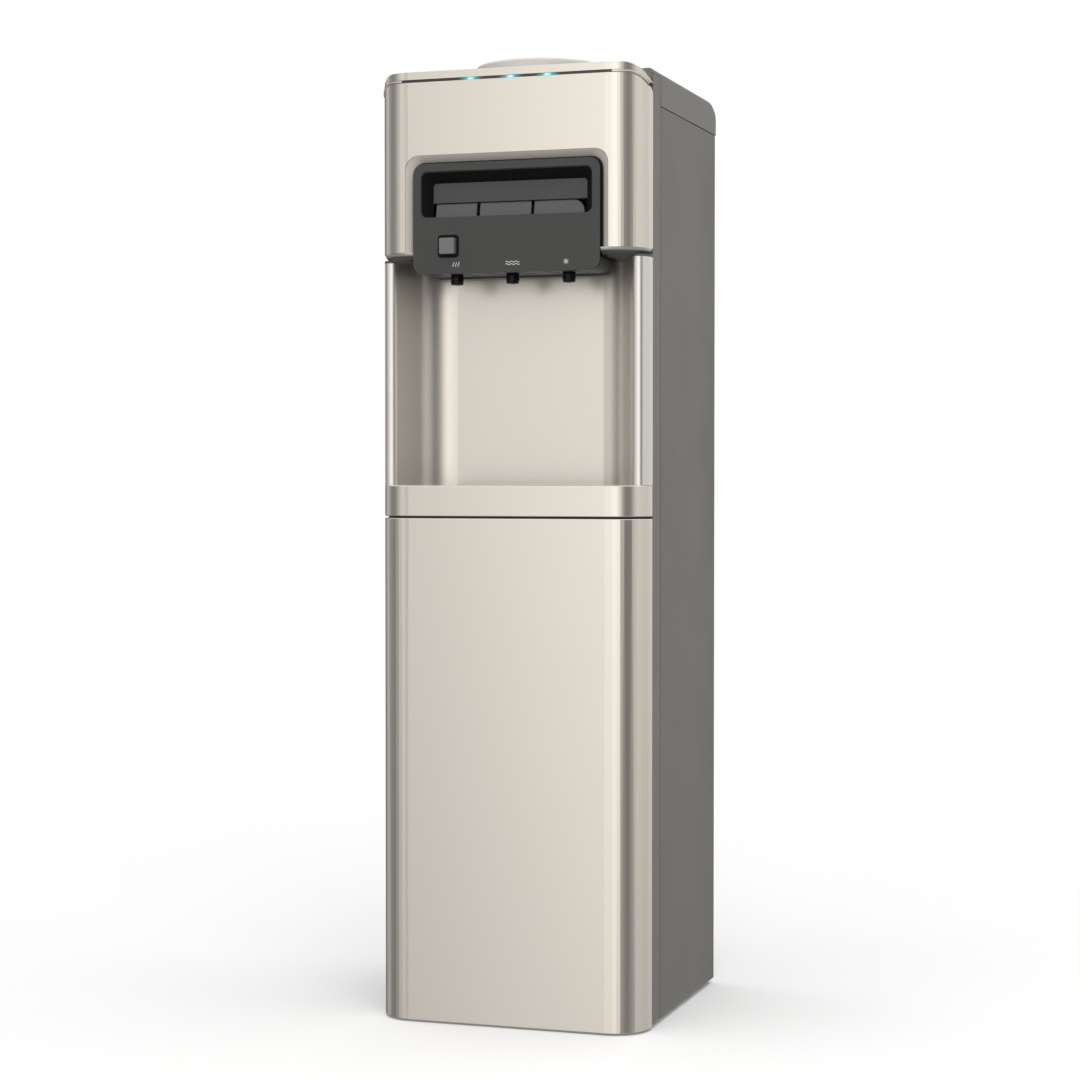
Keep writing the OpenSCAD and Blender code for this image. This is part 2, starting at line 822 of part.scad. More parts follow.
module collar_cup() {
  rim = cover_top - 44;
  color("#e6e4de") translate([0, collar_y, 0]) {
    difference() {
      union() {
        translate([0, 0, cup_z]) cylinder(h = rim - cup_z + 16, r = throat_r - 0.2);
        translate([0, 0, rim - 3]) cylinder(h = 2.9, r = throat_r + 5);
        translate([0, 0, tank_top - 8]) cylinder(h = cup_z - tank_top + 9, r = 6);
      }
      translate([0, 0, cup_z + 2]) cylinder(h = 60, r = throat_r - 2.4);
      translate([0, 0, tank_top - 10]) cylinder(h = 60, r = 4.4);
    }
  }
}

module feed_probe() {
  color(steel) translate([0, collar_y, cup_z + 2]) difference() {
    union() {
      cylinder(h = 2.5, r = 24);
      cylinder(h = 52, r = 9);
      translate([0, 0, 52]) sphere(9);
      translate([0, 0, 2.4]) cylinder(h = 6, r = 12);
    }
    translate([0, 0, -1]) cylinder(h = 50, r = 6.5);
    for (a = [0:120:240]) rotate([0, 0, a]) translate([0, -2.5, 36]) cube([12, 5, 14]);
    for (a = [30:60:330]) rotate([0, 0, a]) translate([18, 0, -1]) cylinder(h = 5, r = 2.5);
  }
}

// Base

module base_tray() {
  inset = wall + seat;
  depth = body_d - 2;
  top = foot_h + tray_rim_h;
  color(steel) difference() {
    union() {
      upright(foot_h, foot_h + 2) plan(inset, depth);
      upright(foot_h, top) difference() {
        plan(inset, depth);
        plan(inset + 2, depth - 2);
      }
      for (x = [-1, 1]) translate([x * half_w / 2 - 1.5, 2 * inset, foot_h + 1]) cube([3, depth - 4 * inset, 9]);
      translate([-compressor_r - 10, compressor_y - compressor_r, foot_h + 1])
        cube([2 * compressor_r + 20, 2 * compressor_r, 5]);
    }
    for (x = [-1, 1], y = [corner_r, body_d - 35]) translate([x * (half_w - corner_r + 6), y, 0])
      cylinder(h = 30, r = 4.1);
  }
}

module feet() {
  color(black) for (x = [-1, 1], y = [corner_r, body_d - 35]) translate([x * (half_w - corner_r + 6), y, 0]) {
    cylinder(h = foot_h, r = foot_r);
    cylinder(h = foot_h + 8, r = 4);
  }
}

// Tanks

module tank_shelf() {
  half = half_w - sheet - seat;
  front = niche_depth + wall + seat;
  color(steel) difference() {
    union() {
      translate([-half, front, shelf_z]) cube([2 * half, rear_y - seat - front, 1.5]);
      both_sides() translate([half - 1.5, front_depth + 40, shelf_z - 14]) cube([1.5, 190, 15]);
      translate([-foam_w / 2, foam_y, shelf_z + 1]) difference() {
        cube([foam_w, foam_d, foam_z - shelf_z - 1]);
        translate([6, 6, -1]) cube([foam_w - 12, foam_d - 12, 30]);
      }
    }
    translate([hose_x, hot_y, shelf_z - 5]) cylinder(h = 20, r = 9);
    translate([feed_x, hot_y, shelf_z - 5]) cylinder(h = 20, r = 7);
  }
}

module tank_foam() {
  color(foam) difference() {
    translate([-foam_w / 2, foam_y, foam_z]) cube([foam_w, foam_d, foam_top - foam_z]);
    translate([-0.15, foam_y - 1, foam_z - 1]) cube([0.3, foam_d + 2, 300]);
    translate([0, tank_y, tank_z - 2]) cylinder(h = tank_top + 8 - tank_z, r = cold_r + 6);
    translate([0, collar_y, tank_top - 5]) cylinder(h = 100, r = 8);
    for (x = [0, cold_r / 2]) translate([x, foam_y - 1, valve_z]) rotate([-90, 0, 0])
      cylinder(h = tank_y - foam_y, r = 5.8);
    translate([feed_x, hot_y, foam_z - 1]) cylinder(h = 30, r = 5);
  }
}

module cold_tank() {
  color(steel) translate([0, tank_y, tank_z]) difference() {
    cylinder(h = tank_top - tank_z, r = cold_r);
    translate([0, 0, 1]) cylinder(h = 300, r = cold_r - 1);
    translate([feed_x, hot_y - tank_y, -1]) cylinder(h = 5, r = 3);
    for (x = [0, cold_r / 2]) translate([x, -cold_r - 5, valve_z - tank_z]) rotate([-90, 0, 0])
      cylinder(h = cold_r, r = 2.5);
  }
}

module tank_lid() {
  color("#e6e4de") translate([0, tank_y, tank_top]) difference() {
    union() {
      cylinder(h = 4, r = cold_r + 3);
      translate([0, 0, -6]) cylinder(h = 7, r = cold_r - 1.2);
    }
    translate([0, 0, -8]) cylinder(h = 6, r = cold_r - 4);
    translate([0, collar_y - tank_y, -10]) cylinder(h = 30, r = 6.2);
  }
}

// Round turns on the cold tank, joined by an upright tube behind it
module evaporator_coil() {
  turns = 9;
  pitch = 7.5;
  r = 2.8;
  away = cold_r + r + 0.1;
  color(copper) translate([0, tank_y, tank_z + 96]) {
    for (i = [0:turns - 1]) translate([0, 0, i * pitch]) rotate_extrude() translate([away, 0]) circle(r, $fn = 24);
    translate([0, away, 0]) cylinder(h = (turns - 1) * pitch, r = r - 0.4, $fn = 32);
  }
}

module hot_tank() {
  color(steel) translate([hot_x, hot_y, hot_z]) {
    difference() {
      union() {
        translate([0, 0, 8]) cylinder(h = hot_h - 16, r = hot_r);
        cylinder(h = 9, r1 = hot_r - 10, r2 = hot_r);
        translate([0, 0, hot_h - 9]) cylinder(h = 9, r1 = hot_r, r2 = hot_r - 10);
      }
      translate([0, 0, 9]) cylinder(h = hot_h - 18, r = hot_r - 1.2);
      translate([feed_x - hot_x, 0, hot_h - 12]) cylinder(h = 20, r = 4.6);
    }
  }
}

module heater_band() {
  band_h = 40;
  color("#c8a25a") translate([hot_x, hot_y, hot_z + (hot_h - band_h) / 2]) {
    difference() {
      cylinder(h = band_h, r = hot_r + 2.5);
      translate([0, 0, -1]) cylinder(h = band_h + 2, r = hot_r);
    }
    translate([-6, -hot_r - 14, band_h / 4]) cube([12, 12.5, band_h / 2]);
  }
}

module hot_tank_bracket() {
  strap_h = 12;
  reach = rear_y - hot_y - hot_r;
  color(steel) for (z = [hot_z + 20, hot_top - 20 - strap_h]) translate([hot_x, hot_y, z]) {
    difference() {
      cylinder(h = strap_h, r = hot_r + 1.5);
      translate([0, 0, -1]) cylinder(h = strap_h + 2, r = hot_r);
    }
    difference() {
      translate([-8, hot_r + 1, 0]) cube([16, reach - seat - 1, strap_h]);
      translate([-6.5, hot_r + 1, -1]) cube([13, reach - 3, strap_h + 2]);
    }
  }
}

module water_hoses() {
  r = 4.5;
  end_r = 5.5;
  start = housing_back + 4;
  low = hot_top - 40;
  touch = 0.2;
  color("#d8d8d2") {
    difference() {
      union() {
        for (i = [-1:1]) translate([i * nozzle_pitch, start, valve_z]) rotate([-90, 0, 0])
          cylinder(h = (i == 0 ? tank_y - cold_r - touch : hose_y) - start, r = end_r);
        for (s = [-1, 1]) translate([s * nozzle_pitch, hose_y, valve_z]) sphere(end_r);
        tube_path([[nozzle_pitch, hose_y, valve_z], [cold_r / 2, hose_y, valve_z],
          [cold_r / 2, tank_y - sqrt(cold_r * cold_r - pow(cold_r / 2 - r, 2)) - touch, valve_z]], r);
        tube_path([[-nozzle_pitch, hose_y, valve_z], [hose_x, hose_y, valve_z], [hose_x, hot_y, valve_z],
          [hose_x, hot_y, low], [hot_x - hot_r - touch, hot_y, low]], r);
      }
      for (i = [-1:1]) translate([i * nozzle_pitch, start - 1, valve_z]) rotate([-90, 0, 0])
        cylinder(h = 13.5, r = 4 + pin_gap);
    }
    translate([feed_x, hot_y, hot_top - 8]) cylinder(h = tank_z - hot_top + 6, r = r);
  }
}

// Cooling circuit

module compressor() {
  color(black) translate([0, compressor_y, foot_h + 24]) {
    rotate_extrude() {
      square([compressor_r, compressor_h - 30]);
      translate([0, compressor_h - 31]) intersection() {
        translate([0, -compressor_r * 1.5 + 31]) circle(compressor_r * 1.5);
        square([compressor_r, 60]);
      }
      translate([0, compressor_h / 2 - 4]) square([compressor_r + 2.5, 6]);
    }
    translate([-compressor_r - 6, -40, -2]) cube([2 * compressor_r + 12, 80, 4]);
    translate([compressor_r - 6, -20, 50]) cube([22, 40, 46]);
    for (z = [30, 100]) translate([-compressor_r + 4, 12, z]) rotate([0, -90, 0]) cylinder(h = 18, r = 4);
  }
}

module compressor_mounts() {
  half = compressor_r - 4;
  color("#2a2a2a") for (x = [-half, half], y = [-30, 30]) translate([x, compressor_y + y, foot_h + 6])
    cylinder(h = 16, r = 9);
}

module filter_drier() {
  color(copper) translate([drier_x, drier_y, drier_z]) {
    cylinder(h = drier_h, r = 9);
    translate([0, 0, -8]) cylinder(h = drier_h + 16, r = 5);
  }
}

module refrigerant_pipes() {
  color(copper) {
    y = compressor_y + 12;
    z = foot_h + 54;
    turn_x = -compressor_r - 25;
    tube_path([[-compressor_r - 14, y, z], [turn_x, y, z], [turn_x, drier_y, z], [drier_x, drier_y, z],
      [drier_x, drier_y, drier_z - 8.2]], 3);
    tube_path([[drier_x, drier_y, drier_z + drier_h + 8.2], [drier_x, drier_y, coil_z - 30],
      [drier_x, coil_y, coil_z - 30], [drier_x, coil_y, coil_z], [-coil_half - 0.2, coil_y, coil_z]], tube_r);
  }
}

module condenser() {
  color(black) {
    for (i = [0:runs - 1]) translate([-coil_half, coil_y, coil_z + i * run_pitch]) rotate([0, 90, 0])
      cylinder(h = 2 * coil_half, r = tube_r);
    for (i = [0:runs - 2]) {
      s = i % 2 == 0 ? 1 : -1;
      translate([s * coil_half, coil_y, coil_z + i * run_pitch + bend_r]) rotate([90, 0, 0])
        rotate([0, 0, s > 0 ? -90 : 90]) rotate_extrude(angle = 180) translate([bend_r, 0]) circle(tube_r);
    }
  }
}

module condenser_wires() {
  wire_r = 0.8;
  count = 24;
  color(black) for (i = [0:count - 1], s = [-1, 1])
    translate([(i - (count - 1) / 2) * 2 * (coil_half - 8) / (count - 1), coil_y + s * (tube_r + wire_r), coil_z - 8])
      cylinder(h = (runs - 1) * run_pitch + 16, r = wire_r);
}

module condenser_brackets() {
  color(steel) for (x = [-1, 1], i = [2, 8]) translate([x * (coil_half - 3) - 3, rear_y + 1, coil_z + i * run_pitch])
    difference() {
      translate([0, 0, -12]) cube([6, coil_y - rear_y - 1, 24]);
      translate([-1, 3, -15]) cube([8, 20, 10]);
      translate([-1, 3, 5]) cube([8, 20, 10]);
      translate([-1, coil_y - rear_y - 1, 0]) rotate([0, 90, 0]) cylinder(h = 8, r = tube_r + 0.05);
    }
}

// Back

// Side view of a louvre's hood, made smaller by t
module louvre(x, z, t) {
  across(x - 41 + t, x + 41 - t) translate([rear_y, z])
    polygon([[-2 * t, 6.5 - t], [1 - t / 2, 6.5 - t], [5 - t, 0.8 - t / 2], [5 - t, -t], [-2 * t, -t]]);
}

module rear_panel() {
  half = half_w - sheet - seat;
  color(steel) difference() {
    union() {
      for (i = [0:9], s = [-1, 1]) louvre(s * 60, louvre_z + i * 9, 0);
      translate([-half, rear_y, bay_h]) cube([2 * half, 1, steel_top - bay_h]);
      both_sides() translate([half - 1, rear_y, bay_h]) cube([1, 14, steel_top - bay_h]);
      translate([-half, rear_y - 12, bay_h]) cube([2 * half, 13, 1]);
    }
    for (i = [0:9], s = [-1, 1]) louvre(s * 60, louvre_z + i * 9, 1);
    translate([-outlet_x, rear_y - 1, drain_z]) rotate([-90, 0, 0]) cylinder(h = 4, r = 7.2);
    translate([outlet_x, rear_y - 1, gland_z]) rotate([-90, 0, 0]) cylinder(h = 4, r = 7.2);
    for (x = [-1, 1], z = screw_rows) translate([x * (half - 8), rear_y - 1, z])
      rotate([-90, 0, 0]) cylinder(h = 4, r = 1.8);
  }
}

module rear_screws() {
  half = half_w - sheet - seat;
  color(steel) for (x = [-1, 1], z = screw_rows) translate([x * (half - 8), rear_y + 1, z])
    rotate([-90, 0, 0]) {
      difference() {
        cylinder(h = 2.4, r = 4);
        translate([-3, -0.5, 1.4]) cube([6, 1, 2]);
        translate([-0.5, -3, 1.4]) cube([1, 6, 2]);
      }
      translate([0, 0, -8]) cylinder(h = 9, r = 1.6);
    }
}

module switch_housing() {
  color(black) difference() {
    translate([-40, rear_y + 1, switch_z - 20]) cube([80, 14, 40]);
    for (x = [-20, 20]) {
      translate([x - 9, rear_y + 3, switch_z - 13]) cube([18, 20, 26]);
      across(x - 10, x + 10) translate([rocker_y, switch_z]) circle(1.5 + pin_gap);
    }
  }
}

// Rocker with two sloping faces and a cross pin, pressed in at the top
module rocker(x) {
  translate([0, rocker_y, switch_z]) rotate([-rocker_swing, 0, 0]) {
    across(x - 8, x + 8) {
      circle(4.5);
      polygon([[-2, -4], [1, -11.5], [5.5, -11.5], [4.2, 0], [5.5, 11.5], [1, 11.5], [-2, 4]]);
    }
    across(x - 9.8, x + 9.8) circle(1.5);
  }
}

module heating_switch() {
  color("#a02820") rocker(20);
}

module cooling_switch() {
  color("#2c7a48") rocker(-20);
}

module drain_spigot() {
  color("#d8d8d2") translate([-outlet_x, rear_y - 10, drain_z]) rotate([-90, 0, 0]) difference() {
    union() {
      cylinder(h = 24, r = 7);
      translate([0, 0, 11]) cylinder(h = 2.5, r = 11);
    }
    translate([0, 0, -1]) cylinder(h = 30, r = 4.5);
  }
}

module drain_cap() {
  color(black) translate([-outlet_x, rear_y + 4, drain_z]) rotate([-90, 0, 0]) difference() {
    union() {
      cylinder(h = 13, r = 10.5);
      for (a = [0:30:330]) rotate([0, 0, a]) translate([10, -1, 0]) cube([1.6, 2, 12]);
    }
    translate([0, 0, -1]) cylinder(h = 11.5, r = 7 + pin_gap);
  }
}

module cord_gland() {
  color(black) translate([outlet_x, rear_y - 8, gland_z]) rotate([-90, 0, 0]) difference() {
    union() {
      cylinder(h = 18, r = 7);
      translate([0, 0, 9]) cylinder(h = 4, r = 10);
    }
    translate([0, 0, -1]) cylinder(h = 30, r = 3.6);
  }
}

from_front() lower_front_panel();
from_front() sill_panel();
from_front() niche_liner();
from_front() upper_front_panel();
from_front() front_cap();
from_front() light_strip();
from_front() status_lights();
from_front() light_board();
from_front() control_fascia();
from_front() recess_plate();
from_front() key_rod();
from_front() key(-1);  // hot_key
from_front() key(0);  // ambient_key
from_front() key(1);  // cold_key
from_front() lock_bezel();
from_front() lock_button();
from_front() tap_housing();
from_front() tap(-1);  // hot_tap
from_front() tap(0);  // ambient_tap
from_front() tap(1);  // cold_tap
from_front() plunger(-1);  // hot_plunger
from_front() plunger(0);  // ambient_plunger
from_front() plunger(1);  // cold_plunger
from_front() nozzle(-1);  // hot_nozzle
from_front() nozzle(0);  // ambient_nozzle
from_front() nozzle(1);  // cold_nozzle
from_front() drip_tray();
from_front() drip_grille();
from_front() left_side_panel();
from_front() right_side_panel();
from_front() top_cover();
from_front() bottle_collar();
from_front() collar_cup();
from_front() feed_probe();
from_front() base_tray();
from_front() feet();
from_front() tank_shelf();
from_front() tank_foam();
from_front() cold_tank();
from_front() tank_lid();
from_front() evaporator_coil();
from_front() hot_tank();
from_front() heater_band();
from_front() hot_tank_bracket();
from_front() water_hoses();
from_front() compressor();
from_front() compressor_mounts();
from_front() filter_drier();
from_front() refrigerant_pipes();
from_front() rear_panel();
from_front() condenser();
from_front() condenser_wires();
from_front() condenser_brackets();
from_front() switch_housing();
from_front() heating_switch();
from_front() cooling_switch();
from_front() drain_spigot();
from_front() drain_cap();
from_front() cord_gland();
from_front() rear_screws();
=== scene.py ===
import json
import math

import bmesh
import bpy
import numpy as np
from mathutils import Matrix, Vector


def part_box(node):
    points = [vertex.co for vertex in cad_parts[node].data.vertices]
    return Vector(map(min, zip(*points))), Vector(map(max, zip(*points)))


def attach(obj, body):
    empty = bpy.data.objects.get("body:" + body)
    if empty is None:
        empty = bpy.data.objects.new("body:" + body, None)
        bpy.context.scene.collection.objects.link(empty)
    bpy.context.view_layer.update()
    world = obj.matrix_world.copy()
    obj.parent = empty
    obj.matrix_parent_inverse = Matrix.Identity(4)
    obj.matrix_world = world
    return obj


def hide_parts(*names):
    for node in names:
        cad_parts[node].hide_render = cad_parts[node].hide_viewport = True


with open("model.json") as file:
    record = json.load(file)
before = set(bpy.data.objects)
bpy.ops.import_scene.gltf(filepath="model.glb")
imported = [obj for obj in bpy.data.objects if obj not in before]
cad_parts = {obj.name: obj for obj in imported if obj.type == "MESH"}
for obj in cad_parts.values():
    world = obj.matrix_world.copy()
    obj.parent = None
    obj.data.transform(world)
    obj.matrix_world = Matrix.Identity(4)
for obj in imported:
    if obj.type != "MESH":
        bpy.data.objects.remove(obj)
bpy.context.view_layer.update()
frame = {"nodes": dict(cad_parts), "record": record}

# Looks of a top load water cooler. Metres, +Z up, the front faces -Y.
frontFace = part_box("lower_front_panel")[0].y
record = frame["record"]
bodyOf = {node: body for body, nodes in record["behaviour"]["bodies"].items() for node in nodes}
slotOf = {part["node"]: part["material_slot"] for part in record["subparts"]}
print("frame loaded,", len(frame["nodes"]), "nodes")


# camera: where the photograph was taken from
camera = {"place": (0.8744, -2.6697, 0.5941), "target": (0.0395, -0.155, 0.5311), "lens": 82.11, "sensor": 36,
          "farthest": 50}

eye = bpy.data.objects.new("camera", bpy.data.cameras.new("camera"))
eye.data.lens = camera["lens"]
eye.data.sensor_width = camera["sensor"]
eye.location = camera["place"]
eye.rotation_euler = (Vector(camera["target"]) - eye.location).to_track_quat("-Z", "Y").to_euler()
eye.data.clip_end = camera["farthest"]
bpy.context.scene.collection.objects.link(eye)
bpy.context.scene.camera = eye


# shader sums
class Value:
    # a shader socket that takes part in Python sums; each operator adds one Math node
    def __init__(self, nodes, socket):
        self.nodes = nodes
        self.socket = socket

    def work(self, operation, *rest, clamp=False):
        return self.nodes.node("ShaderNodeMath", {"operation": operation, "use_clamp": clamp}, [self, *rest])

    def __add__(self, other):
        return self.work("ADD", other)

    def __radd__(self, other):
        return self.work("ADD", other)

    def __sub__(self, other):
        return self.work("SUBTRACT", other)

    def __rsub__(self, other):
        return self.nodes.node("ShaderNodeMath", {"operation": "SUBTRACT"}, [other, self])

    def __mul__(self, other):
        return self.work("MULTIPLY", other)

    def __rmul__(self, other):
        return self.work("MULTIPLY", other)

    def __truediv__(self, other):
        return self.work("DIVIDE", other)

    def __pow__(self, other):
        return self.work("POWER", other)

    def distance(self, other):
        return (self - other).work("ABSOLUTE")

    # 0 below the edge, 1 past edge + width, straight between
    def step(self, edge, width):
        return ((self - edge) / width).work("ADD", 0.0, clamp=True)


class Nodes:
    def __init__(self, tree):
        self.tree = tree

    # any node: its type, its settings, then the values or links of its sockets
    def node(self, kind, settings=None, inputs=None, output=0):
        made = self.tree.nodes.new(kind)
        for key, value in (settings or {}).items():
            if key == "stops":
                self.setStops(made.color_ramp, value)
            else:
                setattr(made, key, value)
        pairs = inputs.items() if isinstance(inputs, dict) else enumerate(inputs or [])
        for key, value in pairs:
            self.feed(made.inputs[key], value)
        return Value(self, made.outputs[output]) if made.outputs else None

    def feed(self, socket, value):
        if isinstance(value, Value):
            self.tree.links.new(value.socket, socket)
        else:
            socket.default_value = value

    def setStops(self, ramp, stops):
        while len(ramp.elements) > 1:
            ramp.elements.remove(ramp.elements[-1])
        ramp.elements[0].position = stops[0][0]
        ramp.elements[0].color = (*stops[0][1], 1)
        for place, colour in stops[1:]:
            ramp.elements.new(place).color = (*colour, 1)

    def mixColours(self, factor, first, second):
        mix = self.tree.nodes.new("ShaderNodeMix")
        mix.data_type = "RGBA"
        self.feed(mix.inputs[0], factor)
        self.feed(mix.inputs[6], first if isinstance(first, Value) else (*first, 1))
        self.feed(mix.inputs[7], second if isinstance(second, Value) else (*second, 1))
        return Value(self, mix.outputs[2])

    # object coordinates, each times its scale
    def place(self, scale=(1, 1, 1)):
        coordinates = self.node("ShaderNodeTexCoord", output=3)
        return self.node("ShaderNodeMapping", {}, {0: coordinates, 3: scale})

    # distance right of the middle, behind the front face and above the floor
    def axes(self):
        coordinates = self.node("ShaderNodeTexCoord", output=3)
        x, y, z = (self.node("ShaderNodeSeparateXYZ", {}, [coordinates], index) for index in range(3))
        return x, y - frontFace, z

    def noise(self, size, detail=2.0, rough=0.5, scale=(1, 1, 1)):
        return self.node("ShaderNodeTexNoise", {}, {
            "Vector": self.place(scale), "Scale": 1 / size, "Detail": detail, "Roughness": rough})

    # output 0 is a distance and 1 the cell's own colour
    def cells(self, size, feature="F1", output=0):
        return self.node("ShaderNodeTexVoronoi", {"feature": feature},
                         {"Vector": self.place(), "Scale": 1 / size}, output)

    # one number between 0 and 1 for each cell
    def cellTone(self, size):
        return self.node("ShaderNodeSeparateColor", {}, [self.cells(size, output=1)])

    def bump(self, height, depth):
        return self.node("ShaderNodeBump", {}, {"Strength": 1.0, "Distance": depth, "Height": height})


class Finish(Nodes):
    # a material with one Principled shader, whose sockets have short names here
    sockets = {
        "colour": "Base Color", "roughness": "Roughness", "metallic": "Metallic", "normal": "Normal",
        "coat": "Coat Weight", "coatRoughness": "Coat Roughness", "specular": "Specular IOR Level",
        "glow": "Emission Color", "glowStrength": "Emission Strength", "through": "Transmission Weight"}

    def __init__(self, name):
        self.material = bpy.data.materials.new(name)
        self.material.use_nodes = True
        super().__init__(self.material.node_tree)
        self.shader = self.tree.nodes["Principled BSDF"]

    def set(self, **values):
        for key, value in values.items():
            if isinstance(value, tuple):
                value = (*value, 1)
            self.feed(self.shader.inputs[self.sockets[key]], value)


def scaled(colour, share):
    return tuple(part * share for part in colour)


# finishes: a function for each kind, and below them one material for each slot of the record;
# pairs named from, to, edge, above or fade are read as (edge, width) of a step
pearl = {
    "colour": (0.74, 0.698, 0.636), "metallic": 0.88, "roughness": 0.19, "coat": 0.15,
    "flake": 0.0004, "cloud": 0.12, "wave": 0.004, "waveDepth": 0.000003,
    # the near-black colour of the painted shade in the gap round the fascia, at the seam and under the
    # niche's ceiling
    "paintedShade": (0.018, 0.017, 0.016), "satin": 0.8, "dull": 0.3,
    "pocket": {"half": 0.1120, "low": 0.8185, "high": 0.9450, "from": (0.0066, 0.0008), "to": (0.02, 0.001)},
    "bevel": {"half": 0.1166, "low": 0.8185, "high": 0.9497, "from": (0.0003, 0.0006), "to": (0.02, 0.001)},
    "blur": 0.0004, "seam": 0.555, "seamEdge": (0.0009, 0.0006),
    "ceiling": {"above": (0.8346, 0.0003), "fade": (0.8400, 0.003), "share": 0.9},
    # wall: a paler pearl painted on the niche liner's side walls as painted light
    "wall": (0.77, 0.742, 0.70), "wallRoughness": 0.29, "wallEdge": (0.098, 0.02)}


def pocketZone(f, zone):
    # 1 inside the zone's width, height and depth, 0 outside, with a narrow step at each side
    x, depth, z = f.axes()
    width = 1 - x.distance(0.0).step(zone["half"], pearl["blur"])
    height = z.step(zone["low"], pearl["blur"]) * (1 - z.step(zone["high"], pearl["blur"]))
    return depth.step(*zone["from"]) * (1 - depth.step(*zone["to"])) * width * height


def pearlLacquer(name, roughness=pearl["roughness"], wall=None):
    # colour = pearl a little darkened by fine flakes, or a paler pearl towards the sides, which is painted
    # light, then a painted shade of near black in the gap round the fascia, under the niche's ceiling, and
    # between the two panels at the seam; the pocket's bevel is satin, so part of its metallic look goes
    f = Finish(name)
    x, z = f.axes()[::2]
    # painted shade under the niche's ceiling, fading out above it
    ceiling = z.step(*pearl["ceiling"]["above"]) * (1 - z.step(*pearl["ceiling"]["fade"]))
    seam = 1 - z.distance(pearl["seam"]).step(*pearl["seamEdge"])
    # painted shade: the gap round the fascia, the seam between the panels and the niche's ceiling turn near
    # black and dull
    paintedShade = pocketZone(f, pearl["pocket"]) + seam + ceiling * pearl["ceiling"]["share"]
    paintedShade = paintedShade.work("MINIMUM", 1.0)
    satin = pocketZone(f, pearl["bevel"])
    flakes = f.noise(pearl["flake"], detail=1.0).step(0.42, 0.2)
    lacquer = f.mixColours(flakes * 0.6, pearl["colour"], scaled(pearl["colour"], 0.96))
    if wall:
        # painted light: the niche's side walls take the paler pearl
        lacquer = f.mixColours(x.distance(0.0).step(*pearl["wallEdge"]), lacquer, wall)
    f.set(colour=f.mixColours(paintedShade, lacquer, pearl["paintedShade"]),
          metallic=(1 - paintedShade) * (1 - satin * pearl["satin"]) * pearl["metallic"],
          roughness=f.noise(pearl["cloud"]) * 0.03 + roughness + (paintedShade + satin) * pearl["dull"],
          normal=f.bump(f.noise(pearl["wave"], detail=1.0), pearl["waveDepth"]),
          coat=pearl["coat"], coatRoughness=0.1)
    return f.material


# the paler strip and the darker rear are painted light and painted shade on the side panels
paint = {"colour": (0.156, 0.147, 0.132), "strip": (0.176, 0.165, 0.149), "stripEdge": (0.071, 0.0005),
         "rear": (0.132, 0.123, 0.110), "rearEdge": (0.225, 0.09), "roughness": 0.38, "metallic": 0.15,
         "grain": 0.0011, "grainDepth": 0.00004, "cloud": 0.09, "dirt": 0.12}


def powderCoat(name):
    # height = fine grain; colour = paint, paler on the strip before the pressed line as painted light and
    # darker towards the rear as painted shade, and a little darker with the grain and in slow clouds
    f = Finish(name)
    depth = f.axes()[1]
    grain = f.noise(paint["grain"])
    cloud = f.noise(paint["cloud"], detail=3.0)
    # painted shade towards the rear, then painted light on the strip before the pressed line
    coat = f.mixColours(depth.step(*paint["rearEdge"]), paint["colour"], paint["rear"])
    coat = f.mixColours(depth.step(*paint["stripEdge"]), paint["strip"], coat)
    f.set(colour=f.mixColours((grain * 0.5 + cloud * 0.3) * paint["dirt"], coat, (0.0, 0.0, 0.0)),
          roughness=cloud * 0.08 + paint["roughness"] + grain * 0.06,
          normal=f.bump(grain, paint["grainDepth"]), metallic=paint["metallic"])
    return f.material


def mouldedPlastic(name, colour, roughness=0.42, grain=0.0007, depth=0.00003, coat=0.0, spread=0.12,
                   shine=0.5):
    # height = spark-eroded grain; colour = colour darkened by the grain and by slow clouds
    f = Finish(name)
    texture = f.noise(grain)
    cloud = f.noise(0.03)
    f.set(colour=f.mixColours(texture * 0.5 + cloud * 0.4, colour, scaled(colour, 1 - spread)),
          roughness=texture * 0.08 + (roughness - 0.04) + cloud * 0.05,
          normal=f.bump(texture, depth), coat=coat, coatRoughness=0.15, specular=shine)
    return f.material


steel = {"colour": (0.62, 0.62, 0.63), "streak": 0.0008, "along": (1, 1, 0.03), "depth": 0.000015,
         "cloud": 0.04, "roughness": 0.20}


def brushedSteel(name):
    # fine upright streaks: noise drawn out along Z, darker and rougher where it is high
    f = Finish(name)
    streaks = f.noise(steel["streak"], scale=steel["along"])
    cloud = f.noise(steel["cloud"])
    f.set(colour=f.mixColours(streaks * 0.7 + cloud * 0.2, steel["colour"], scaled(steel["colour"], 0.8)),
          roughness=streaks * 0.16 + steel["roughness"] + cloud * 0.06, metallic=1.0,
          normal=f.bump(streaks, steel["depth"]))
    return f.material


zinc = {"pale": (0.60, 0.62, 0.64), "dark": (0.40, 0.42, 0.44), "crystal": 0.009, "fine": 0.0012,
        "roughness": 0.33, "metallic": 0.9, "depth": 0.00001}


def galvanised(name):
    # spangle: each crystal has its own brightness and roughness, under a fine grain
    f = Finish(name)
    crystal = f.cellTone(zinc["crystal"])
    fine = f.noise(zinc["fine"])
    f.set(colour=f.mixColours(crystal * 0.7 + fine * 0.2, zinc["pale"], zinc["dark"]),
          roughness=crystal * 0.15 + zinc["roughness"] + fine * 0.05, metallic=zinc["metallic"],
          normal=f.bump(fine, zinc["depth"]))
    return f.material


copper = {"bright": (0.80, 0.42, 0.27), "brown": (0.40, 0.20, 0.12), "patch": 0.015, "patchEdge": (0.4, 0.3),
          "fine": 0.001, "roughness": 0.22, "depth": 0.00001}


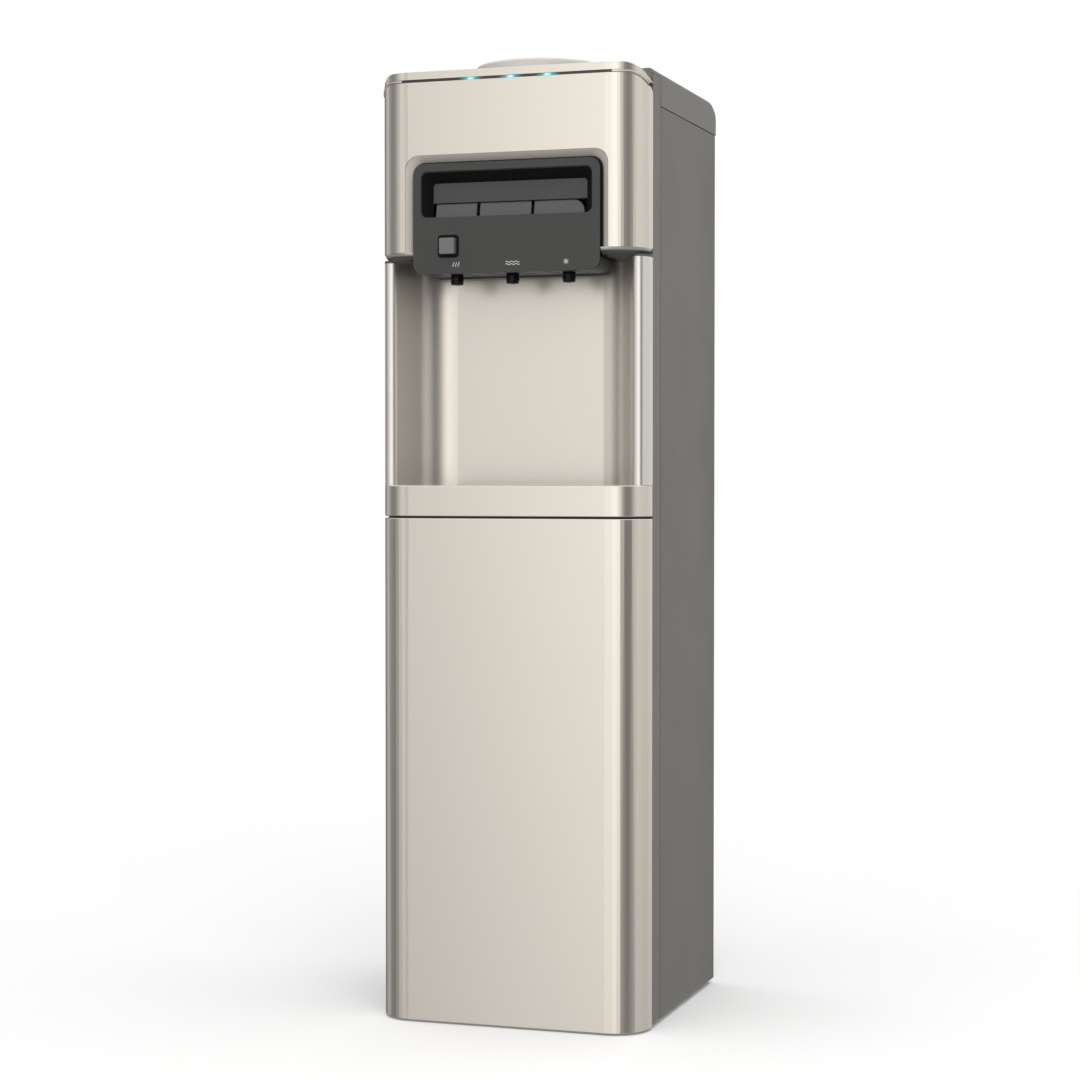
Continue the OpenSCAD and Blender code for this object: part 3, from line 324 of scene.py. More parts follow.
def drawnCopper(name):
    # bright copper that turns brown and rougher in slow patches, under a fine grain
    f = Finish(name)
    tarnish = f.noise(copper["patch"], detail=4.0, rough=0.6).step(*copper["patchEdge"])
    fine = f.noise(copper["fine"])
    f.set(colour=f.mixColours(tarnish, copper["bright"], copper["brown"]), metallic=1.0,
          roughness=tarnish * 0.15 + copper["roughness"] + fine * 0.06, normal=f.bump(fine, copper["depth"]))
    return f.material


shellPaint = {"black": (0.014, 0.014, 0.015), "dust": (0.045, 0.044, 0.042), "dustSize": 0.02,
              "dustEdge": (0.5, 0.35), "wave": 0.004, "waveDepth": 0.00004, "roughness": 0.28, "coat": 0.3}


def blackLacquer(name):
    # thin black paint with small waves, paler and rougher where dust lies
    f = Finish(name)
    waves = f.noise(shellPaint["wave"])
    dust = f.noise(shellPaint["dustSize"], detail=3.0).step(*shellPaint["dustEdge"])
    f.set(colour=f.mixColours(dust * 0.5, shellPaint["black"], shellPaint["dust"]),
          roughness=dust * 0.2 + shellPaint["roughness"] + waves * 0.05,
          normal=f.bump(waves, shellPaint["waveDepth"]), coat=shellPaint["coat"], coatRoughness=0.2)
    return f.material


rubber = {"black": (0.014, 0.014, 0.014), "bloom": (0.035, 0.034, 0.033), "bloomSize": 0.008, "grain": 0.0009,
          "grainDepth": 0.00005, "roughness": 0.68}


def mattRubber(name):
    # near black with a paler bloom in clouds, over a fine grain
    f = Finish(name)
    bloom = f.noise(rubber["bloomSize"], detail=4.0)
    f.set(colour=f.mixColours(bloom, rubber["black"], rubber["bloom"]),
          roughness=bloom * 0.15 + rubber["roughness"],
          normal=f.bump(f.noise(rubber["grain"]), rubber["grainDepth"]))
    return f.material


lamps = {"places": (-0.040, 0.0055, 0.0474), "colour": (0.06, 0.46, 0.52), "core": (0.60, 0.97, 1.0),
         "coreEdge": (0.25, 0.7), "reach": 0.0115, "strength": 1.0, "spread": 1.5, "spill": 1.6,
         "smoke": ((0.030, 0.024, 0.020), (0.040, 0.033, 0.028)), "endEdge": (0.119, 0.004),
         "window": ((0.02, 0.20, 0.24), (0.03, 0.26, 0.30))}


def lampGlow(f, reach):
    # sum over the lamps of (1 - distance / reach) squared, none past the reach
    x = f.axes()[0]
    parts = [(1 - x.distance(place) / reach).work("MAXIMUM", 0.0) ** 2.0 for place in lamps["places"]]
    return parts[0] + parts[1] + parts[2]


def darkLens(name):
    # polished smoked plastic that carries a little of each lamp's light along the strip; its ends are pearl
    f = Finish(name)
    cloud = f.noise(0.02)
    glow = lampGlow(f, lamps["spread"] * lamps["reach"]).work("MINIMUM", 1.0)
    smoke = f.mixColours(cloud, *lamps["smoke"])
    ends = f.axes()[0].distance(0.0).step(*lamps["endEdge"])
    f.set(colour=f.mixColours(ends, smoke, pearl["colour"]), roughness=cloud * 0.04 + 0.16,
          glow=f.mixColours(glow, (0.0, 0.0, 0.0), lamps["colour"]),
          glowStrength=lamps["strength"] * lamps["spill"])
    return f.material


def litWindow(name):
    # a white core in front of each lamp that fades to teal at the window's ends
    f = Finish(name)
    core = lampGlow(f, lamps["reach"])
    f.set(colour=f.mixColours(f.noise(0.004), *lamps["window"]), roughness=0.25,
          glow=f.mixColours(core.step(*lamps["coreEdge"]), lamps["colour"], lamps["core"]),
          glowStrength=lamps["strength"])
    return f.material


# inside is the colour of the painted shade in the recess and behind the face
face = {"colour": (0.062, 0.062, 0.061), "inside": (0.004, 0.004, 0.004), "insideEdge": (0.0008, 0.001),
        "grain": 0.0006, "grainDepth": 0.00001, "roughness": 0.42, "dull": 0.25, "shine": 0.25}


def fasciaPlastic(name):
    # fine grain on the face; the walls of the recess and the edges behind the face are near black, a painted
    # shade
    f = Finish(name)
    texture = f.noise(face["grain"])
    # painted shade: all that lies deeper than the face turns near black and duller
    inside = f.axes()[1].step(*face["insideEdge"])
    front = f.mixColours(texture, face["colour"], scaled(face["colour"], 0.92))
    f.set(colour=f.mixColours(inside, front, face["inside"]),
          roughness=texture * 0.06 + face["roughness"] + inside * face["dull"],
          normal=f.bump(texture, face["grainDepth"]), specular=face["shine"])
    return f.material


board = {"mask": (0.012, 0.11, 0.045), "track": (0.03, 0.20, 0.09), "scale": 120.0, "width": 0.03,
         "depth": 0.00003, "coat": 0.3}


def circuitBoard(name):
    # solder mask, paler and raised over straight tracks, which are the joints of a brick pattern
    f = Finish(name)
    tracks = f.node("ShaderNodeTexBrick", {"offset": 0.5},
                    {"Vector": f.place((1, 0, 1)), "Scale": board["scale"], "Mortar Size": board["width"]}, 1)
    f.set(colour=f.mixColours(tracks, board["mask"], board["track"]), roughness=0.3 - 0.05 * tracks,
          normal=f.bump(tracks, board["depth"]), coat=board["coat"])
    return f.material


foam = {"seam": (0.66, 0.64, 0.57), "bead": (0.86, 0.85, 0.80), "size": 0.0042, "seamWidth": 0.12,
        "depth": 0.0003}


def beadFoam(name):
    # pressed beads: cells with dark seams, each bead a little different
    f = Finish(name)
    bead = f.cells(foam["size"], "DISTANCE_TO_EDGE").step(0.0, foam["seamWidth"])
    f.set(colour=f.mixColours(bead * 0.8 + f.cellTone(foam["size"]) * 0.2, foam["seam"], foam["bead"]),
          roughness=0.85 - 0.1 * bead, normal=f.bump(bead, foam["depth"]))
    return f.material


silicone = {"pale": (0.80, 0.80, 0.76), "dull": (0.66, 0.66, 0.61), "cloud": 0.01, "clear": 0.25,
            "grain": 0.002, "grainDepth": 0.00002}


def siliconeHose(name):
    # milky hose that lets a little light through, duller in clouds
    f = Finish(name)
    cloud = f.noise(silicone["cloud"], detail=3.0)
    f.set(colour=f.mixColours(cloud, silicone["pale"], silicone["dull"]), roughness=cloud * 0.1 + 0.3,
          through=silicone["clear"], normal=f.bump(f.noise(silicone["grain"]), silicone["grainDepth"]))
    return f.material


mica = {"pale": (0.55, 0.44, 0.27), "dark": (0.40, 0.31, 0.18), "flake": 0.006, "depth": 0.00008,
        "metallic": 0.5}


def micaBand(name):
    # mica flakes, each with its own tone, roughness and height
    f = Finish(name)
    tone = f.cellTone(mica["flake"])
    f.set(colour=f.mixColours(tone, mica["pale"], mica["dark"]), metallic=mica["metallic"],
          roughness=tone * 0.2 + 0.3, normal=f.bump(tone, mica["depth"]))
    return f.material


plastics = {
    "grey_plastic": {"colour": (0.165, 0.158, 0.147), "roughness": 0.40},
    "dark_plastic": {"colour": (0.058, 0.058, 0.057), "roughness": 0.40},
    "key_plastic": {"colour": (0.095, 0.095, 0.096), "roughness": 0.34},
    "button_plastic": {"colour": (0.17, 0.17, 0.17), "roughness": 0.38},
    "black_plastic": {"colour": (0.004, 0.004, 0.005), "roughness": 0.16, "shine": 0.2},
    "collar_plastic": {"colour": (0.60, 0.575, 0.545), "roughness": 0.40, "spread": 0.05},
    "white_plastic": {"colour": (0.78, 0.78, 0.75), "roughness": 0.38, "spread": 0.05},
    "red_plastic": {"colour": (0.42, 0.022, 0.016), "roughness": 0.22, "coat": 0.4},
    "green_plastic": {"colour": (0.03, 0.23, 0.075), "roughness": 0.22, "coat": 0.4},
}
finishes = {slot: mouldedPlastic(slot, **values) for slot, values in plastics.items()}
finishes.update({
    "champagne_plastic": pearlLacquer("champagne_plastic"),
    "grey_steel": powderCoat("grey_steel"),
    "stainless": brushedSteel("stainless"),
    "zinc_sheet": galvanised("zinc_sheet"),
    "copper": drawnCopper("copper"),
    "black_steel": blackLacquer("black_steel"),
    "rubber": mattRubber("rubber"),
    "lens": darkLens("lens"),
    "light_window": litWindow("light_window"),
    "circuit_board": circuitBoard("circuit_board"),
    "foam": beadFoam("foam"),
    "hose": siliconeHose("hose"),
    "heater": micaBand("heater"),
})
labelWhite = mouldedPlastic("label_ink", (0.62, 0.62, 0.61), roughness=0.5, grain=0.0003, depth=0.000005)
ownFinish = {
    "control_fascia": fasciaPlastic("fascia"),
    # the niche liner's lacquer is rougher and carries painted light on its side walls
    "niche_liner": pearlLacquer("niche_satin", pearl["wallRoughness"], pearl["wall"]),
    "lock_bezel": mouldedPlastic("bezel_black", (0.003, 0.003, 0.003), roughness=0.45, shine=0.15),
}
print("finishes made:", len(finishes))

for name, thing in frame["nodes"].items():
    thing.data.materials.clear()
    thing.data.materials.append(ownFinish.get(name, finishes[slotOf[name]]))


# pieces
def takeIn(thing, body, slot, *nodes, finish=None):
    # the piece gets its finish, the body that it moves with, and the nodes that it stands for
    thing.data.materials.clear()
    thing.data.materials.append(finish or finishes[slot])
    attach(thing, body)
    if nodes:
        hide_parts(*nodes)
    return thing


# nodes that get rounded edges, and how wide
softEdges = {
    "lower_front_panel": 0.0009, "sill_panel": 0.0009, "niche_liner": 0.0008, "upper_front_panel": 0.0009,
    "front_cap": 0.0008, "control_fascia": 0.0009, "recess_plate": 0.0006, "hot_key": 0.0008,
    "ambient_key": 0.0008, "cold_key": 0.0008, "lock_bezel": 0.0005, "lock_button": 0.0012,
    "tap_housing": 0.0008, "drip_tray": 0.0006, "drip_grille": 0.0006, "top_cover": 0.0008,
    "left_side_panel": 0.0004, "right_side_panel": 0.0004, "base_tray": 0.0006, "tank_shelf": 0.0004,
    "switch_housing": 0.0008, "heating_switch": 0.0006, "cooling_switch": 0.0006,
    "tank_lid": 0.0006, "tank_foam": 0.0015, "light_strip": 0.0003, "status_lights": 0.0001,
    "light_board": 0.0002, "key_rod": 0.0002, "hot_tap": 0.0004, "ambient_tap": 0.0004, "cold_tap": 0.0004,
    "hot_plunger": 0.0004, "ambient_plunger": 0.0004, "cold_plunger": 0.0004, "collar_cup": 0.0006,
    "feed_probe": 0.0004, "cold_tank": 0.0003, "hot_tank": 0.0005, "heater_band": 0.0005,
    "hot_tank_bracket": 0.0003, "condenser_brackets": 0.0004, "rear_screws": 0.0002,
}


# pieces whose flat faces have many holes keep their triangles; angles are degrees
rounding = {"weld": 2e-6, "flat": 0.4, "hard": 32, "segments": 2, "weight": 80,
            "pierced": ("base_tray", "drip_grille", "lower_front_panel")}


def smooth(name, mesh, hard):
    # a new object whose faces shade smoothly across all edges but those past the angle
    mesh.polygons.foreach_set("use_smooth", np.ones(len(mesh.polygons), dtype=bool))
    mesh.set_sharp_from_angle(angle=math.radians(hard))
    thing = bpy.data.objects.new(name, mesh)
    bpy.context.scene.collection.objects.link(thing)
    return thing


def softCopy(node, width):
    # the node's own faces, welded, its flat triangles joined, and its hard edges rounded
    shape = bmesh.new()
    shape.from_mesh(frame["nodes"][node].data)
    bmesh.ops.remove_doubles(shape, verts=shape.verts, dist=rounding["weld"])
    if node not in rounding["pierced"]:
        flat = math.radians(rounding["flat"])
        bmesh.ops.dissolve_limit(shape, angle_limit=flat, verts=shape.verts, edges=shape.edges)
    mesh = bpy.data.meshes.new("soft_" + node)
    shape.to_mesh(mesh)
    shape.free()
    thing = smooth("soft_" + node, mesh, rounding["hard"])
    bevel = thing.modifiers.new("rounding", "BEVEL")
    bevel.width = width
    bevel.segments = rounding["segments"]
    bevel.limit_method = "ANGLE"
    bevel.angle_limit = math.radians(rounding["hard"])
    bevel.use_clamp_overlap = True
    bevel.miter_outer = "MITER_ARC"
    weigh = thing.modifiers.new("flat faces", "WEIGHTED_NORMAL")
    weigh.keep_sharp = True
    weigh.weight = rounding["weight"]
    return takeIn(thing, bodyOf[node], slotOf[node], node, finish=ownFinish.get(node))


for node, width in softEdges.items():
    softCopy(node, width)
print("edges rounded:", len(softEdges))


# surfaces made from arrays; places are millimetres to the right, behind the front face and above the floor
def at(*points):
    return np.array(points, float) / 1000 + (0, frontFace, 0)


def gridFaces(rows, columns, wrapRows=False, wrapColumns=False):
    # a face between each four neighbours of points that are numbered row by row
    i = np.arange(rows if wrapRows else rows - 1)[:, None]
    j = np.arange(columns if wrapColumns else columns - 1)[None, :]
    ahead, beside = (i + 1) % rows, (j + 1) % columns
    corners = [i * columns + j, i * columns + beside, ahead * columns + beside, ahead * columns + j]
    return np.stack(np.broadcast_arrays(*corners), axis=-1).reshape(-1, 4)


def welded(name, *shapes, sharp=35):
    # one mesh of several shapes, welded, facing outwards, smooth but for its steep edges
    points, faces, first = [], [], 0
    for shapePoints, faceLists in shapes:
        points.extend(shapePoints.tolist())
        faces.extend((face + first).tolist() for faceList in faceLists for face in faceList)
        first += len(shapePoints)
    mesh = bpy.data.meshes.new(name)
    mesh.from_pydata(points, [], faces)
    shape = bmesh.new()
    shape.from_mesh(mesh)
    bmesh.ops.remove_doubles(shape, verts=shape.verts, dist=1e-6)
    bmesh.ops.recalc_face_normals(shape, faces=shape.faces)
    shape.to_mesh(mesh)
    shape.free()
    return smooth(name, mesh, sharp)


def surface(name, node, *shapes, sharp=35):
    # a piece that stands for the node and has its finish
    return takeIn(welded(name, *shapes, sharp=sharp), bodyOf[node], slotOf[node], node)


def unit(vectors):
    return vectors / np.linalg.norm(vectors, axis=-1, keepdims=True)


def roundCorners(points, radii, steps=8, closed=False):
    # each corner becomes an arc that leaves and meets its two straight runs without a kink
    points = np.asarray(points, float)
    radii = np.array(np.broadcast_to(radii, len(points)), float)
    if not closed:
        radii[[0, -1]] = 0
    lasts, nexts = np.roll(points, 1, axis=0), np.roll(points, -1, axis=0)
    path = []
    for before, corner, after, r in zip(lasts, points, nexts, radii):
        if r == 0:
            path.append(corner[None])
            continue
        back, ahead = unit(before - corner), unit(after - corner)
        half = math.acos(np.clip(back @ ahead, -1, 1)) / 2
        centre = corner + unit(back + ahead) * r / math.sin(half)
        start = corner + back * r / math.tan(half) - centre
        end = corner + ahead * r / math.tan(half) - centre
        turn = math.pi - 2 * half
        t = np.linspace(0, 1, steps + 1)[:, None]
        path.append(centre + (np.sin((1 - t) * turn) * start + np.sin(t * turn) * end) / math.sin(turn))
    return np.concatenate(path)


def profile(corners, steps, closed=True):
    # an outline's corners are (distance from the axis, height, radius of the rounding)
    outline = np.array(corners, float)
    return roundCorners(outline[:, :2], outline[:, 2], steps, closed)


skew = (0.31, 0.42, 0.85)    # a direction that no tube of this object follows


def tube(path, radius, sides=20):
    # ring = centre + radius * (cos * side + sin * up), square to the path, whose repeated points are dropped;
    # a fan closes each end
    steps = np.linalg.norm(np.diff(path, axis=0), axis=1)
    path = path[np.concatenate([[True], steps > 1e-7])]
    runs = unit(np.diff(path, axis=0))
    along = unit(np.concatenate([runs[:1], runs[:-1] + runs[1:], runs[-1:]]))
    side = unit(np.cross(along, skew))
    up = np.cross(side, along)
    turn = np.linspace(0, 2 * np.pi, sides, endpoint=False)[None, :, None]
    radii = np.broadcast_to(radius, len(path))[:, None, None] / 1000
    rings = path[:, None] + radii * (np.cos(turn) * side[:, None] + np.sin(turn) * up[:, None])
    points = np.concatenate([rings.reshape(-1, 3), path[:1], path[-1:]])
    j = np.arange(sides)
    count = len(path)
    fans = [np.stack([np.full(sides, count * sides + end), ring + j, ring + (j + 1) % sides], axis=-1)
            for end, ring in ((0, 0), (1, (count - 1) * sides))]
    return points, [gridFaces(count, sides, wrapColumns=True), *fans]


def turned(outline, centre, towards="up", turns=96, closed=True, ribs=0, ribDepth=0.0):
    # outline of (distance, height) in millimetres once round an axis; ribs swell what lies past 97 % of its
    # radius by ribDepth * sqrt(cos(ribs * turn)), where the cosine isn't below 0
    distance, height = np.asarray(outline, float).T
    turn = np.linspace(0, 2 * np.pi, turns, endpoint=False)[:, None]
    widest = distance > 0.97 * distance.max()
    radius = distance + ribDepth * widest * np.clip(np.cos(ribs * turn), 0, 1) ** 0.5 * (ribs > 0)
    first, second = radius * np.cos(turn), radius * np.sin(turn)
    level = np.broadcast_to(height, first.shape)
    order = [first, second, level] if towards == "up" else [first, level, second]
    points = np.stack(order, axis=-1).reshape(-1, 3) / 1000 + centre
    return points, [gridFaces(turns, len(distance), wrapRows=True, wrapColumns=closed)]


def block(low, high, corner, edge, steps=6):
    # rounded outline in plan, drawn in over a quarter circle at its top and bottom edges
    turn = np.linspace(0, np.pi / 2, steps)
    inset = edge * (1 - np.sin(turn))
    rise = edge * (1 - np.cos(turn))
    layers = [*zip(inset, low[2] + rise), *zip(inset[::-1], high[2] - rise[::-1])]
    rings = []
    for back, z in layers:
        x0, y0, x1, y1 = low[0] + back, low[1] + back, high[0] - back, high[1] - back
        plan = roundCorners([(x0, y0), (x1, y0), (x1, y1), (x0, y1)], corner - back, steps, closed=True)
        rings.append(np.column_stack([plan, np.full(len(plan), z)]))
    count = len(rings[0])
    points = np.concatenate(rings)
    ends = [np.arange(count)[None], np.arange(len(points) - count, len(points))[None]]
    return at(*points), [gridFaces(len(rings), count, wrapColumns=True), *ends]


# bottle collar: a dish with a rounded lip that the bottle's shoulder stands on
collar = {"centre": (0, 127, 1038.4), "rim": 74, "height": 20, "lip": 3.4, "lipWidth": 7,
          "flange": 82, "flangeHeight": 1.6, "spigot": 4.4, "spigotInset": 3.3,
          "throat": 32, "throatWall": 2.5, "tail": 44, "depth": 22}


def collarOutline():
    # up the outside of the throat, out to the flange and up the rim, over its lip and down the dish
    rim, height, lip, flange = collar["rim"], collar["height"], collar["lip"], collar["flange"]
    throat, tail, spigot = collar["throat"], collar["tail"], collar["spigot"]
    outer, inset = throat + collar["throatWall"], rim - collar["spigotInset"]
    return profile([
        (throat, -tail, 0.6), (outer, -tail, 0.6), (outer, -26, 3), (rim - 12, -spigot, 2),
        (inset, -spigot, 0.5), (inset, 0, 0), (flange, 0, 0.2), (flange, collar["flangeHeight"], 0.7),
        (rim + 1.5, 2.6, 2), (rim, 4.4, 1.2), (rim, height, lip), (rim - collar["lipWidth"], height, lip),
        (rim - 8.5, height - 8, 4), (throat, -collar["depth"], 5)], 8)


surface("bottle_collar_ring", "bottle_collar", turned(collarOutline(), at(collar["centre"])[0], turns=160))


# nozzles: black tubes with a rounded mouth and a bead over it
nozzle = {"radius": 7, "bore": 3.5, "socket": 5.05, "floor": 2.5, "length": 34, "mouth": 0.9, "bead": 0.25,
          "beadFrom": 3.6, "beadTo": 4.6}


def nozzleOutline():
    # round the mouth, over the bead, up the tube and down its socket to the bore
    r, bore, socket, length = nozzle["radius"], nozzle["bore"], nozzle["socket"], nozzle["length"]
    bead, low, high, floor = r + nozzle["bead"], nozzle["beadFrom"], nozzle["beadTo"], nozzle["floor"]
    return profile([
        (bore, 0, 0.4), (r - 0.3, 0, nozzle["mouth"]), (r, low - 0.4, 0.3), (bead, low, 0.2),
        (bead, high, 0.2), (r, high + 0.4, 0.3), (r, length, 0.3), (socket, length, 0.3),
        (socket, floor, 0.2), (bore, floor, 0.2)], 5)


def nozzleTube(water):
    # the outline turned about the middle of the node's box, from its foot up
    low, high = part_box(water + "_nozzle")
    mouth = ((low.x + high.x) / 2, (low.y + high.y) / 2, low.z)
    surface(water + "_nozzle_tube", water + "_nozzle", turned(nozzleOutline(), mouth, turns=64))


for water in ("hot", "ambient", "cold"):
    nozzleTube(water)
print("collar and nozzles made")


# condenser: one tube bent to and fro, with upright wires welded to both faces
condenser = {"depth": 303, "low": 250, "runs": 11, "pitch": 50, "half": 84, "tube": 2.5,
             "wires": 24, "wire": 0.8, "wireHalf": 76, "over": 8}


def condenserPath():
    # level runs, each one pitch over the last and going the other way, joined by half circles
    bend = condenser["pitch"] / 2
    levels = condenser["low"] + condenser["pitch"] * np.arange(condenser["runs"])
    side = np.where(np.arange(condenser["runs"]) % 2 == 0, 1.0, -1.0)
    reach = condenser["half"] + bend
    ends = np.stack([-side * reach, side * reach], axis=-1)
    ends[0, 0], ends[-1, 1] = -condenser["half"], side[-1] * condenser["half"]
    depths = np.full(2 * len(levels), condenser["depth"])
    return at(*roundCorners(np.stack([ends.ravel(), depths, np.repeat(levels, 2)], axis=-1), bend, 12))


def condenserWires():
    # upright wires at even places, in front of the tube and behind it
    wire, half = condenser["wire"], condenser["wireHalf"]
    away = condenser["tube"] + wire
    low = condenser["low"] - condenser["over"]
    high = condenser["low"] + (condenser["runs"] - 1) * condenser["pitch"] + condenser["over"]
    return [tube(at((x, depth, low), (x, depth, high)), wire, 10)
            for x in np.linspace(-half, half, condenser["wires"])
            for depth in (condenser["depth"] - away, condenser["depth"] + away)]


surface("condenser_tube", "condenser", tube(condenserPath(), condenser["tube"]), sharp=50)
surface("condenser_wire_rows", "condenser_wires", *condenserWires(), sharp=50)


# refrigerant pipes and the drier between them
pipes = {
    "fromCompressor": [(-74, 222, 60), (-85, 222, 60), (-85, 262, 60), (-112, 262, 60), (-112, 262, 111.8)],
    "toCondenser": [(-112, 262, 198.2), (-112, 262, 220), (-112, 303, 220), (-112, 303, 250),
                    (-84.2, 303, 250)],
    "thick": 3, "thin": 2.5, "bend": 8}
surface("copper_pipes", "refrigerant_pipes",
        tube(at(*roundCorners(pipes["fromCompressor"], pipes["bend"])), pipes["thick"]),
        tube(at(*roundCorners(pipes["toCondenser"], pipes["bend"])), pipes["thin"]), sharp=50)

drier = {"place": (-112, 262, 120), "length": 70, "radius": 9, "neck": 5}


def drierOutline():
    # neck, cone, body, cone, neck
    r, neck, length = drier["radius"], drier["neck"], drier["length"]
    return profile([
        (0, -8, 0), (neck, -8, 0.8), (neck, -3, 2), (r, 4, 3), (r, length - 4, 3), (neck, length + 3, 2),
        (neck, length + 8, 0.8), (0, length + 8, 0)], 6, closed=False)


surface("drier_can", "filter_drier", turned(drierOutline(), at(drier["place"])[0], turns=48, closed=False))


# compressor: two drawn halves with a weld flange, its plate, the relay's cover and two stubs
compressor = {
    "place": (0, 210, 30), "radius": 60, "side": 142, "dome": 90, "base": 14, "flange": (78.5, 84.5, 2.5),
    "plate": {"low": (-66, 170, 28), "high": (66, 250, 32), "corner": 14, "edge": 0.8},
    "relay": {"low": (52, 190, 80), "high": (76, 230, 126), "corner": 6, "edge": 3},
    "stubs": {"depth": 222, "from": -54, "to": -74, "heights": (60, 130), "radius": 4}}


def shellOutline():
    # straight sides over a rounded bottom, a weld flange round them, then a dome:
    # height = side - sqrt(dome^2 - radius^2) + sqrt(dome^2 - distance^2)
    r, side, dome = compressor["radius"], compressor["side"], compressor["dome"]
    weldLow, weldHigh, out = compressor["flange"]
    walls = profile([
        (0, 0, 0), (r, 0, compressor["base"]), (r, weldLow, 0.6), (r + out, weldLow, 0.8),
        (r + out, weldHigh, 0.8), (r, weldHigh, 0.6), (r, side - 6, 0)], 8, closed=False)
    distance = np.linspace(r - 3, 0, 20)
    height = side - math.sqrt(dome ** 2 - r ** 2) + np.sqrt(dome ** 2 - distance ** 2)
    return np.concatenate([walls, np.column_stack([distance, height])])


def stubShapes():
    # straight level tubes, one over the other
    stubs = compressor["stubs"]
    return [tube(at((stubs["from"], stubs["depth"], z), (stubs["to"], stubs["depth"], z)), stubs["radius"])
            for z in stubs["heights"]]


surface("compressor_shell", "compressor",
        turned(shellOutline(), at(compressor["place"])[0], turns=120, closed=False),
        block(**compressor["plate"]), block(**compressor["relay"]), *stubShapes())

mounts = {"x": 56, "depths": (180, 240), "bottom": 12, "height": 16, "radius": 9, "waist": 7, "bore": 3}


def mountOutline():
    # a waist between two thick ends, round a bore
    r, bore, waist, height = mounts["radius"], mounts["bore"], mounts["waist"], mounts["height"]
    return profile([
        (bore, 0, 0.5), (r, 0, 1), (r, 5, 1), (waist, 6.5, 1), (waist, height - 6.5, 1), (r, height - 5, 1),
        (r, height, 1), (bore, height, 0.5)], 5)


surface("rubber_mounts", "compressor_mounts",
        *[turned(mountOutline(), at((x, depth, mounts["bottom"]))[0], turns=40)
          for x in (-mounts["x"], mounts["x"]) for depth in mounts["depths"]])
print("cooling circuit made")


# evaporator: a helix on the cold tank with an upright tube behind it
evaporator = {"centre": (0, 180), "low": 886, "turns": 8, "steps": 60, "pitch": 7.5, "radius": 70.9,
              "tube": 2.8, "upright": 2.4}


def evaporatorPath():
    # place = centre + radius * (sin t, cos t), height = low + pitch * t / (2 pi)
    t = np.linspace(0, 2 * np.pi * evaporator["turns"], evaporator["steps"] * evaporator["turns"] + 1)
    x = evaporator["centre"][0] + evaporator["radius"] * np.sin(t)
    y = evaporator["centre"][1] + evaporator["radius"] * np.cos(t)
    return at(*np.column_stack([x, y, evaporator["low"] + evaporator["pitch"] * t / (2 * np.pi)]))


def uprightPath():
    # straight up behind the helix, from its first turn to its last
    x, middle = evaporator["centre"]
    depth, low = middle + evaporator["radius"], evaporator["low"]
    return at((x, depth, low), (x, depth, low + evaporator["turns"] * evaporator["pitch"]))


surface("evaporator_helix", "evaporator_coil", tube(evaporatorPath(), evaporator["tube"], 14),
        tube(uprightPath(), evaporator["upright"], 14), sharp=50)


# hoses from the taps to the tanks, each with a sleeve where it grips its tap's stub, and the hot tank's feed
hoses = {
    "radius": 4.5, "bend": 9, "sleeve": 5.5, "sleeveEnds": {"ambient": 78, "cold": 72, "hot": 72},
    "routes": {
        "ambient": [(0, 64, 876.2), (0, 111.8, 876.2)],
        "cold": [(64.33, 64, 876.2), (64.33, 81, 876.2), (34, 81, 876.2), (34, 118.5, 876.2)],
        "hot": [(-64.33, 64, 876.2), (-64.33, 81, 876.2), (-112, 81, 876.2), (-112, 190, 876.2),
                (-112, 190, 705), (-102.2, 190, 705)],
        "feed": [(-40, 190, 737), (-40, 190, 788)]}}


def hoseShapes():
    # each route with its corners rounded, then a wider sleeve straight back from the tap
    shapes = []
    for water, route in hoses["routes"].items():
        shapes.append(tube(at(*roundCorners(route, hoses["bend"], 10)), hoses["radius"]))
        if water in hoses["sleeveEnds"]:
            x, depth, z = route[0]
            shapes.append(tube(at((x, depth, z), (x, hoses["sleeveEnds"][water], z)), hoses["sleeve"]))
    return shapes


surface("hoses", "water_hoses", *hoseShapes(), sharp=50)


# feet: a pad with a drawn-in top, on a stem that stands in the tray
foot = {"x": 118, "depths": (41, 281), "radius": 12, "height": 6, "stem": 4, "stemTop": 14}


def footOutline():
    # over the pad from its sole, in to the stem and up to its end
    r, height, stem, top = foot["radius"], foot["height"], foot["stem"], foot["stemTop"]
    return profile([
        (0, 0, 0), (r - 1.5, 0, 0.8), (r, 2, 0.8), (r, 4.4, 1), (r - 3, height, 0.8), (stem, height, 0.3),
        (stem, top, 0.5), (0, top, 0)], 5, closed=False)


surface("rubber_feet", "feet",
        *[turned(footOutline(), at((x, depth, 0))[0], turns=48, closed=False)
          for x in (-foot["x"], foot["x"]) for depth in foot["depths"]])


# drain: a flanged spigot and its ribbed cap; gland: a nut with fine ribs round the cord's hole
drain = {"spigot": (-126, 280, 420), "bore": 4.5, "pipe": 7, "flange": 11, "length": 24,
         "cap": (-126, 294, 420), "capBore": 7.05, "capRadius": 10.5, "capLength": 13, "ribs": 12,
         "ribDepth": 1.0}


def spigotOutline():
    # a pipe round its bore with a flange near its middle
    bore, pipe, flange, length = drain["bore"], drain["pipe"], drain["flange"], drain["length"]
    return profile([
        (bore, 0, 0.3), (pipe, 0, 0.5), (pipe, 11, 0.4), (flange, 11, 0.6), (flange, 13.5, 0.6),
        (pipe, 13.5, 0.3), (pipe, length, 0.5), (bore, length, 0.3)], 4)


def capOutline():
    # a round cup: out under its floor, down inside its wall, and back over the outside
    bore, r, length = drain["capBore"], drain["capRadius"], drain["capLength"]
    return profile([
        (0, length - 2.5, 0), (bore, length - 2.5, 0.4), (bore, 0, 0.3), (r, 0, 0.8), (r, length, 1.2),
        (0, length, 0)], 5, closed=False)


